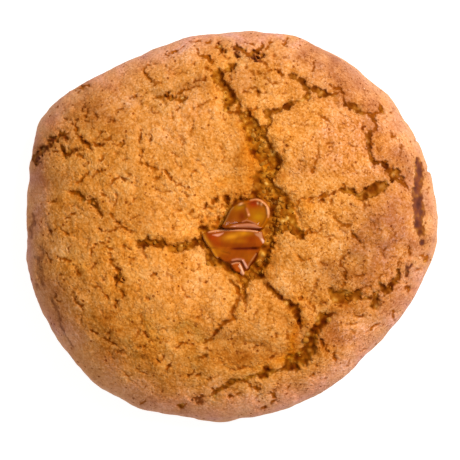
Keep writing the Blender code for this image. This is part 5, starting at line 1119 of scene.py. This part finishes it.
def shard(name, points, centre, z, tilt, thick, edge, top, paint, soft=0.5, n=300, m=64):
    """A piece of the sheet: its top from a height function, its colour from a list of tints, painted highlights and
    painted shade.
    """
    rim = ring(points, n, soft)
    c = np.array(centre, float)
    share = 1 - (1 - np.linspace(0, 1, m + 1)) ** 1.25
    grid = c + share[:, None, None] * (rim[None] - c)
    x, y = grid[..., 0], grid[..., 1]
    d = np.full(x.shape, 1e3)
    for k in range(n):
        a, b = rim[k], rim[(k + 1) % n]
        e = b - a
        t = np.clip(((x - a[0]) * e[0] + (y - a[1]) * e[1]) / max(e @ e, 1e-9), 0, 1)
        d = np.minimum(d, np.hypot(x - a[0] - t * e[0], y - a[1] - t * e[1]))
    d = d * PLAN_UNIT
    h = top(x, y, d)
    for _ in range(3):
        h = (h + np.roll(h, 1, 1) + np.roll(h, -1, 1)) / 3
        h[1:-1] = (h[1:-1] + h[:-2] + h[2:]) / 3
    base = z + (x - c[0]) * PLAN_UNIT * math.tan(math.radians(tilt[0])) + (c[1] - y) * PLAN_UNIT * math.tan(math.radians(tilt[1]))
    r = np.clip(edge - d, 0, edge)
    zt = base + h - (edge - np.sqrt(np.maximum(edge ** 2 - r ** 2, 0)))
    wob = 0.05 * np.sin(np.arange(n) * 2 * math.pi / n * 17) + 0.04 * np.sin(np.arange(n) * 2 * math.pi / n * 29 + 1)
    rows = [(x[k], y[k], zt[k]) for k in range(m + 1)]
    low = base[-1] - thick
    out = rim - c
    out = out / np.linalg.norm(out, axis=1)[:, None]
    for k in range(1, 9):
        u = k / 9
        swell = (0.5 * math.sin(u * math.pi) + wob * math.sin(u * math.pi) - 1.2 * max(0, u - 0.8) * 5 * 0.4)
        q = rim + out * swell[:, None]
        rows.append((q[:, 0], q[:, 1], zt[-1] * (1 - u) + low * u))
    for k in range(1, 12):
        u = 1 - k / 12
        q = c + (rim - out * 0.9 - c) * u
        rows.append((q[:, 0], q[:, 1], z - thick + (q[:, 0] - c[0]) * PLAN_UNIT * math.tan(math.radians(tilt[0])) + (c[1] - q[:, 1]) * PLAN_UNIT * math.tan(math.radians(tilt[1])) - 0.06 * (1 - u) + 0 * q[:, 0]))
    px = np.stack([row[0] for row in rows[1:]]).ravel()
    py = np.stack([row[1] for row in rows[1:]]).ravel()
    pz = np.stack([row[2] for row in rows[1:]]).ravel()
    px = np.concatenate([px, [x[0, 0], c[0]]])
    py = np.concatenate([py, [y[0, 0], c[1]]])
    pz = np.concatenate([pz, [zt[0].mean(), z - thick - 0.06]])
    X, Y = place_of(px, py, pz)
    verts = np.stack([X, Y, pz], 1)
    rowsn = len(rows) - 1
    k = np.arange(n)
    k2 = (k + 1) % n
    quads = np.concatenate([np.stack([j * n + k, j * n + k2, (j + 1) * n + k2, (j + 1) * n + k], 1) for j in range(rowsn - 1)])
    tris = np.concatenate([quads[:, [0, 1, 2]], quads[:, [0, 2, 3]], np.stack([k2, k, np.full(n, len(px) - 2)], 1), np.stack([(rowsn - 1) * n + k, (rowsn - 1) * n + k2, np.full(n, len(px) - 1)], 1)])
    # outward facing
    a, b, e = verts[tris[0]]
    nrm = np.cross(b - a, e - a)
    if nrm[2] < 0:
        tris = tris[:, ::-1]
    obj = mesh_from(name, verts * MM, tris)
    colour = np.tile(np.array(paint[0], float), (len(px), 1))
    for col, amount, mask in paint[1]:
        w = np.clip(amount * mask(px, py), 0, 1)[:, None]
        colour = colour * (1 - w) + np.array(col, float) * w
    # painted shade: the sides darker towards their foot
    deep = np.clip((zt.mean() - 0.5 - pz) / thick, 0, 1)[:, None]
    colour = colour * (1 - 0.25 * deep)
    att = obj.data.attributes.new("tint_and_painted_light", "FLOAT_COLOR", "POINT")
    att.data.foreach_set("color", np.concatenate([colour, np.ones((len(px), 1))], 1).astype(np.float32).ravel())
    return obj


def patch(points, soft=0.6):
    """A soft mask with that outline, used for tints, painted highlights and painted shade, and for the raised tip: 1
    inside, fading over soft plan units on both sides of its edge.
    """
    def mask(x, y):
        d, inside = np.full(x.shape, 99.0), np.zeros(x.shape, bool)
        for (xa, ya), (xb, yb) in zip(points, list(points[1:]) + [points[0]]):
            dx, dy = xb - xa, yb - ya
            t = np.clip(((x - xa) * dx + (y - ya) * dy) / (dx * dx + dy * dy), 0.0, 1.0)
            d = np.minimum(d, np.hypot(x - xa - t * dx, y - ya - t * dy))
            if dy != 0:
                inside ^= ((ya > y) != (yb > y)) & (x < xa + (y - ya) / dy * dx)
        return smooth(soft, -soft, np.where(inside, -d, d))
    return mask


def shield_top(x, y, d):
    upper = steps(x, 200, 0.05, 207, 0.26, 211, 0.30, 220, -0.12, 232, -0.12, 252, 0.06, 256, 0.08, 264, -0.50)
    upper = upper + steps(y, 229, 0.0, 231, 0.10, 235, 0.05, 238, 0.0, 243, -0.10, 247, -0.24)
    lower = -0.34 + steps(y, 248, 0.0, 252, 0.03, 258, -0.08, 261, -0.10, 264, -0.42, 276, -0.75) + steps(x, 214, 0.06, 226, 0.04, 248, 0.02, 258, -0.55)
    w = smooth(247.0, 248.6, y)
    h = upper * (1 - w) + lower * w
    h -= 0.08 * ridge([(221, 252), (229, 254)], 1.0, x, y)
    h += 0.14 * ridge([(231, 261), (236, 259.6), (241, 259.6)], 1.3, x, y)
    tip = patch([(231.5, 264), (239, 262.8), (241, 265), (242, 269), (245, 274), (243.5, 277), (238, 273), (233, 270)], 1.0)(x, y)
    h += tip * (0.16 + 0.10 * smooth(241.5, 236, x) - 0.14 * smooth(236, 231.5, x))
    h += 0.34 * ridge([(242.5, 261), (244.5, 265), (246.5, 268.5)], 1.5, x, y)
    h += 0.16 * ridge([(240.3, 265), (242, 270), (244, 275.5)], 1.5, x, y)
    h -= 0.20 * ridge([(243.2, 266), (245.5, 272)], 1.0, x, y)
    h -= 0.9 * smooth(0, 6, (x - 252) * 0.80 + (y - 258) * 0.60) * smooth(249, 253, y)
    h += 0.10 * blob(x, y, 216, 233.5, 5, 1.6, 0) + 0.06 * ridge([(207, 232.5), (226, 231)], 1.2, x, y)
    h += 0.05 * np.sin(x * 0.33 + 0.18 * y + 1.0) * np.cos(y * 0.27 - 0.1 * x) + 0.02 * np.sin(x * 0.9 + y * 0.5)
    return h


def lobe_top(x, y, d):
    q = np.hypot((x - 249) / 22, (y - 215) / 15)
    h = 0.36 * q ** 2.2 - 0.28
    h += 0.20 * np.exp(-((d - 0.42) / 0.26) ** 2) * smooth(0.2, 1.0, ((x - 240) * 0.8 - (y - 214) * 0.6) / 14 + 0.35)
    h += 0.16 * ridge([(246.3, 206), (246.8, 211), (247.5, 216)], 1.7, x, y)
    h += 0.12 * blob(x, y, 240.5, 204.5, 3.2, 1.8, -20) + 0.09 * blob(x, y, 255.6, 203.3, 1.3, 1.3) + 0.10 * blob(x, y, 260.5, 204, 1.4, 2.4, 20)
    h += 0.30 * ridge([(229, 227.5), (236, 226.2), (244, 225.4), (251, 225.6), (257, 227), (261, 229)], 1.9, x, y)
    h += 0.12 * ridge([(241, 221.8), (246, 220.2), (251, 221.2), (257, 223.8)], 1.2, x, y)
    h -= 0.10 * smooth(227.2, 229, y)
    h += 0.03 * np.sin(x * 0.4 + y * 0.25) * np.cos(y * 0.35)
    return h


# The caramel's colour: its own amber tints, with painted light and shade among them. The pale peach lines and patches
# on the ridges, edges and faces are painted highlights, the bright yellow zones and the gold left edges a painted glow
# of light through the caramel, and the near-black lines in the crease and the gaps painted shade.
AMBER_TINTS_AND_PAINTED_LIGHT = {
    "shield": ((0.345, 0.060, 0.0004), [
        ((0.44, 0.118, 0.0010), 0.9, lambda x, y: blob(x, y, 218, 251, 8, 5, 15)),
        ((0.355, 0.076, 0.0005), 0.9, lambda x, y: blob(x, y, 249, 257, 7, 4.5)),
        ((0.37, 0.034, 0.0003), 0.95, lambda x, y: blob(x, y, 211, 237.5, 7, 3.6, 15)),
        ((0.33, 0.036, 0.0003), 0.85, lambda x, y: blob(x, y, 218, 243, 6, 5)),
        # painted glow of light through the caramel: bright yellow zones
        ((0.80, 0.275, 0.009), 1.0, lambda x, y: blob(x, y, 231.5, 236.8, 8, 3.0, -12)),
        ((0.66, 0.215, 0.004), 1.0, lambda x, y: blob(x, y, 244, 233.4, 8, 2.8)),
        ((0.50, 0.130, 0.001), 0.8, lambda x, y: blob(x, y, 239, 241, 12, 2.6)),
        ((0.34, 0.044, 0.0003), 0.9, lambda x, y: blob(x, y, 251, 240, 5.5, 4.6)),
        ((0.29, 0.040, 0.0003), 0.6, lambda x, y: blob(x, y, 244, 245.5, 16, 2)),
        # painted shade in the crease
        ((0.11, 0.006, 0.0001), 0.97, lambda x, y: np.exp(-((y - 248.6) / 1.6) ** 2) * smooth(227, 236, x) * smooth(260, 256, x)),
        # painted glow along the left edge, and a painted highlight on its lip
        ((0.74, 0.260, 0.010), 0.98, lambda x, y: ridge([(203, 236), (207, 243), (211, 250), (215, 256)], 2.6, x, y)),
        ((0.82, 0.37, 0.10), 0.8, lambda x, y: ridge([(202, 235), (206, 243.5), (210, 249.5), (214, 256)], 0.8, x, y)),
        ((0.34, 0.050, 0.0004), 0.6, lambda x, y: blob(x, y, 228, 259, 8, 3, 30)),
        # painted highlight on the lower edge
        ((0.70, 0.28, 0.11), 0.75, lambda x, y: ridge([(217, 257.5), (222, 261.5), (228, 264), (231.5, 267.5)], 0.8, x, y)),
        ((0.13, 0.012, 0.0003), 0.97, patch([(256.5, 252), (258.5, 253), (259.5, 257), (257.5, 265), (252, 273), (247.5, 278), (246.5, 272), (249, 266), (253.5, 260), (255.5, 256)], 0.8)),
        # painted highlight on the edge of the dark side face
        ((0.52, 0.210, 0.07), 0.6, lambda x, y: ridge([(256, 254), (252.5, 259), (249, 264.5), (247.6, 268)], 0.7, x, y)),
        ((0.46, 0.076, 0.002), 1.0, patch([(231.5, 264), (239, 262.8), (241, 266), (241.5, 270), (240, 274), (236, 272), (233, 269)], 0.7)),
        # painted highlights round the tip, with painted shade in the groove under its ridge
        ((0.78, 0.34, 0.15), 0.75, lambda x, y: ridge([(231.5, 264.2), (236, 262.8), (239.5, 263)], 0.7, x, y)),
        ((0.15, 0.020, 0.001), 0.9, lambda x, y: ridge([(232, 262.2), (237, 261.2), (241.3, 261.8), (243, 266), (245, 271.5)], 0.7, x, y)),
        ((0.60, 0.23, 0.12), 0.75, lambda x, y: ridge([(232.5, 260.2), (237, 259.2), (241, 259.4)], 0.9, x, y)),
        ((0.66, 0.30, 0.19), 0.9, patch([(241.5, 259.6), (243.6, 259.8), (246.2, 264), (248, 267.5), (246.4, 269), (244.4, 266), (243, 262.6)], 0.6)),
        ((0.98, 0.50, 0.27), 0.95, patch([(238.2, 266), (240, 264.3), (241.3, 266), (242.6, 269.4), (245, 274), (243, 276), (240.2, 273.4), (241, 270.4), (239.8, 268.6)], 0.55)),
        # painted highlights on the top edge and on both sides of the face
        ((0.80, 0.33, 0.14), 0.92, lambda x, y: ridge([(209, 232), (216, 230.6), (226, 230.0), (240, 230.0), (250, 230.6), (257, 231.4)], 0.9, x, y)),
        ((0.86, 0.345, 0.20), 0.88, patch([(212.5, 235.0), (215, 234.4), (219, 233.9), (223.5, 232.8), (222.4, 234), (219.6, 235.8), (217.6, 236.4), (215.4, 235.9)], 0.9)),
        ((0.53, 0.215, 0.095), 0.85, patch([(254.5, 233.6), (258, 233.4), (259.5, 232.2), (261.6, 232.2), (262.2, 236), (263, 239.6), (265, 242.4), (262.6, 243.4), (260.8, 240.6), (258.9, 237.2), (256, 235.4)], 0.9)),
        ((1.0, 0.60, 0.44), 0.66, patch([(261, 238.6), (262.8, 238.8), (265, 242.2), (263, 243.2)], 0.7)),
    ]),
    "lobe": ((0.37, 0.088, 0.0006), [
        ((0.44, 0.110, 0.0008), 0.8, lambda x, y: blob(x, y, 264, 213, 6, 11)),
        ((0.245, 0.047, 0.0004), 0.95, lambda x, y: blob(x, y, 230, 218, 7, 10)),
        ((0.20, 0.026, 0.0003), 1.0, lambda x, y: blob(x, y, 242, 216.5, 5, 6.5)),
        ((0.42, 0.034, 0.0003), 1.0, lambda x, y: blob(x, y, 253.5, 204, 5.5, 5)),
        ((0.46, 0.170, 0.001), 0.9, lambda x, y: blob(x, y, 239.5, 207, 4.6, 2.6, -20)),
        # painted glow of light through the caramel
        ((0.50, 0.190, 0.0015), 1.0, lambda x, y: blob(x, y, 258, 216.5, 5.5, 4.8)),
        ((0.46, 0.130, 0.001), 0.7, lambda x, y: blob(x, y, 254, 212, 5, 4)),
        # painted highlight on the crease
        ((0.55, 0.170, 0.06), 0.75, lambda x, y: ridge([(246.6, 209), (247.8, 212), (248.8, 215.4)], 1.1, x, y)),
        # painted shade in the groove between the ridges and along the seam to the other piece
        ((0.13, 0.012, 0.0003), 0.9, lambda x, y: ridge([(233, 223.6), (240, 222.8), (247, 222.6), (254, 223.4)], 0.75, x, y)),
        ((0.18, 0.018, 0.0003), 0.9, lambda x, y: smooth(227.2, 228.4, y)),
        ((0.20, 0.026, 0.0003), 0.8, lambda x, y: blob(x, y, 222, 226, 7, 2.6)),
        # painted highlights on the ridges, the rim and the small bumps, and a painted glow along the left edge
        ((0.50, 0.165, 0.075), 0.9, patch([(229.5, 226.8), (234, 225), (241, 224.2), (248, 223.6), (254, 224), (258, 226), (261, 228), (257, 228.4), (250, 227.6), (242, 227.2), (235, 227.2)], 0.5)),
        ((0.48, 0.150, 0.06), 0.8, lambda x, y: ridge([(242.5, 221.8), (246.5, 220.2), (250.5, 221.4), (256, 224)], 0.65, x, y)),
        ((0.78, 0.32, 0.12), 0.8, lambda x, y: ridge([(250.5, 200), (256, 199.2), (260.5, 200.4), (264.6, 203.4), (268, 207.5), (268.9, 212), (268.4, 217)], 0.9, x, y)),
        ((0.86, 0.40, 0.17), 0.8, lambda x, y: ridge([(267.3, 208), (268, 213.6)], 1.1, x, y)),
        ((0.85, 0.40, 0.17), 0.9, lambda x, y: blob(x, y, 240.6, 204, 2.2, 1.2, -25) + blob(x, y, 257.8, 203.2, 1.0, 1.3) + blob(x, y, 261.4, 204, 1.1, 1.5) + blob(x, y, 248.8, 214.6, 0.9, 0.9)),
        ((0.45, 0.190, 0.04), 0.7, lambda x, y: ridge([(224, 224), (227, 217.5), (230, 211), (233, 207.4)], 0.8, x, y)),
    ]),
}


def caramel_material():
    m = Nodes("hard_caramel")
    node = m.tree.nodes.new("ShaderNodeAttribute")
    node.attribute_type = "GEOMETRY"
    node.attribute_name = "tint_and_painted_light"
    mid, fine = m.noise(1.6, 2.0, 0.5, 0.6), m.noise(0.5, 2.0)
    shade = m.remap(mid, 0.3, 0.7, 0.90, 1.08, "LINEAR")
    col = m.mix(1.0, node.outputs["Color"], m.ramp(shade, [(0.0, (0.0, 0.0, 0.0)), (1.0, (1.0, 1.0, 1.0))]), "MULTIPLY")
    m.link(col, m.shader.inputs["Base Color"])
    m.shader.inputs["Roughness"].default_value = 0.10
    m.shader.inputs["Specular IOR Level"].default_value = 0.10
    m.link(m.bump(fine, 0.06, 0.08), m.shader.inputs["Normal"])
    return m.mat


AMBER = caramel_material()
shield = shard("caramel_shield", SHIELD_OUTLINE, (235, 247), 18.75, (3.0, 1.0), 2.7, 0.34, shield_top, AMBER_TINTS_AND_PAINTED_LIGHT["shield"])
lobe = shard("caramel_lobe", LOBE_OUTLINE, (248, 216), 18.95, (-4.0, 2.0), 2.7, 0.5, lobe_top, AMBER_TINTS_AND_PAINTED_LIGHT["lobe"], 0.9)
for piece, node in ((shield, "caramel_lower"), (lobe, "caramel_upper")):
    piece.data.materials.append(AMBER)
    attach(piece, "root")
    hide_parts(node)


# ------------------------------------------------------------------------------------------------------------------
# Floor, light and camera
def stage():
    bm = bmesh.new()
    bmesh.ops.create_grid(bm, x_segments=2, y_segments=2, size=1.5)
    mesh = bpy.data.meshes.new("floor")
    bm.to_mesh(mesh)
    bm.free()
    floor = bpy.data.objects.new("floor", mesh)
    floor.location.z = -0.00005
    bpy.context.scene.collection.objects.link(floor)
    mat = bpy.data.materials.new("pale_floor")
    mat.use_nodes = True
    shader = mat.node_tree.nodes["Principled BSDF"]
    shader.inputs["Base Color"].default_value = (0.35, 0.35, 0.35, 1.0)
    shader.inputs["Roughness"].default_value = 0.9
    shader.inputs["Specular IOR Level"].default_value = 0.1
    shader.inputs["Emission Color"].default_value = (1.0, 1.0, 1.0, 1.0)
    shader.inputs["Emission Strength"].default_value = 0.90
    mesh.materials.append(mat)

    world = bpy.data.worlds.new("studio")
    bpy.context.scene.world = world
    world.use_nodes = True
    background = world.node_tree.nodes["Background"]
    background.inputs["Color"].default_value = (1.0, 1.0, 1.0, 1.0)
    background.inputs["Strength"].default_value = 0.34

    def area(name, azimuth, elevation, distance, size, power, colour):
        light = bpy.data.lights.new(name, "AREA")
        light.shape = "SQUARE"
        light.size = size
        light.energy = power
        light.color = colour
        obj = bpy.data.objects.new(name, light)
        a, e = math.radians(azimuth), math.radians(elevation)
        obj.location = (distance * math.cos(e) * math.cos(a), distance * math.cos(e) * math.sin(a), distance * math.sin(e))
        obj.rotation_euler = (-Vector(obj.location)).to_track_quat("-Z", "Y").to_euler()
        bpy.context.scene.collection.objects.link(obj)

    area("key", 34, 48, 0.9, 0.44, 9.4, (1.0, 0.985, 0.96))

    cam = bpy.data.cameras.new("camera")
    cam.sensor_width = 36.0
    cam.lens = 36.0 * (EYE_Z - BELLY_Z) / (460.0 * PLAN_UNIT)
    cam.clip_start, cam.clip_end = 0.01, 10.0
    obj = bpy.data.objects.new("camera", cam)
    obj.location = ((230.0 - PLAN_CENTRE[0]) * PLAN_UNIT * MM, (PLAN_CENTRE[1] - 230.0) * PLAN_UNIT * MM, EYE_Z * MM)
    bpy.context.scene.collection.objects.link(obj)
    bpy.context.scene.camera = obj
    bpy.context.scene.view_settings.view_transform = "Standard"
    bpy.context.scene.view_settings.look = "None"


stage()
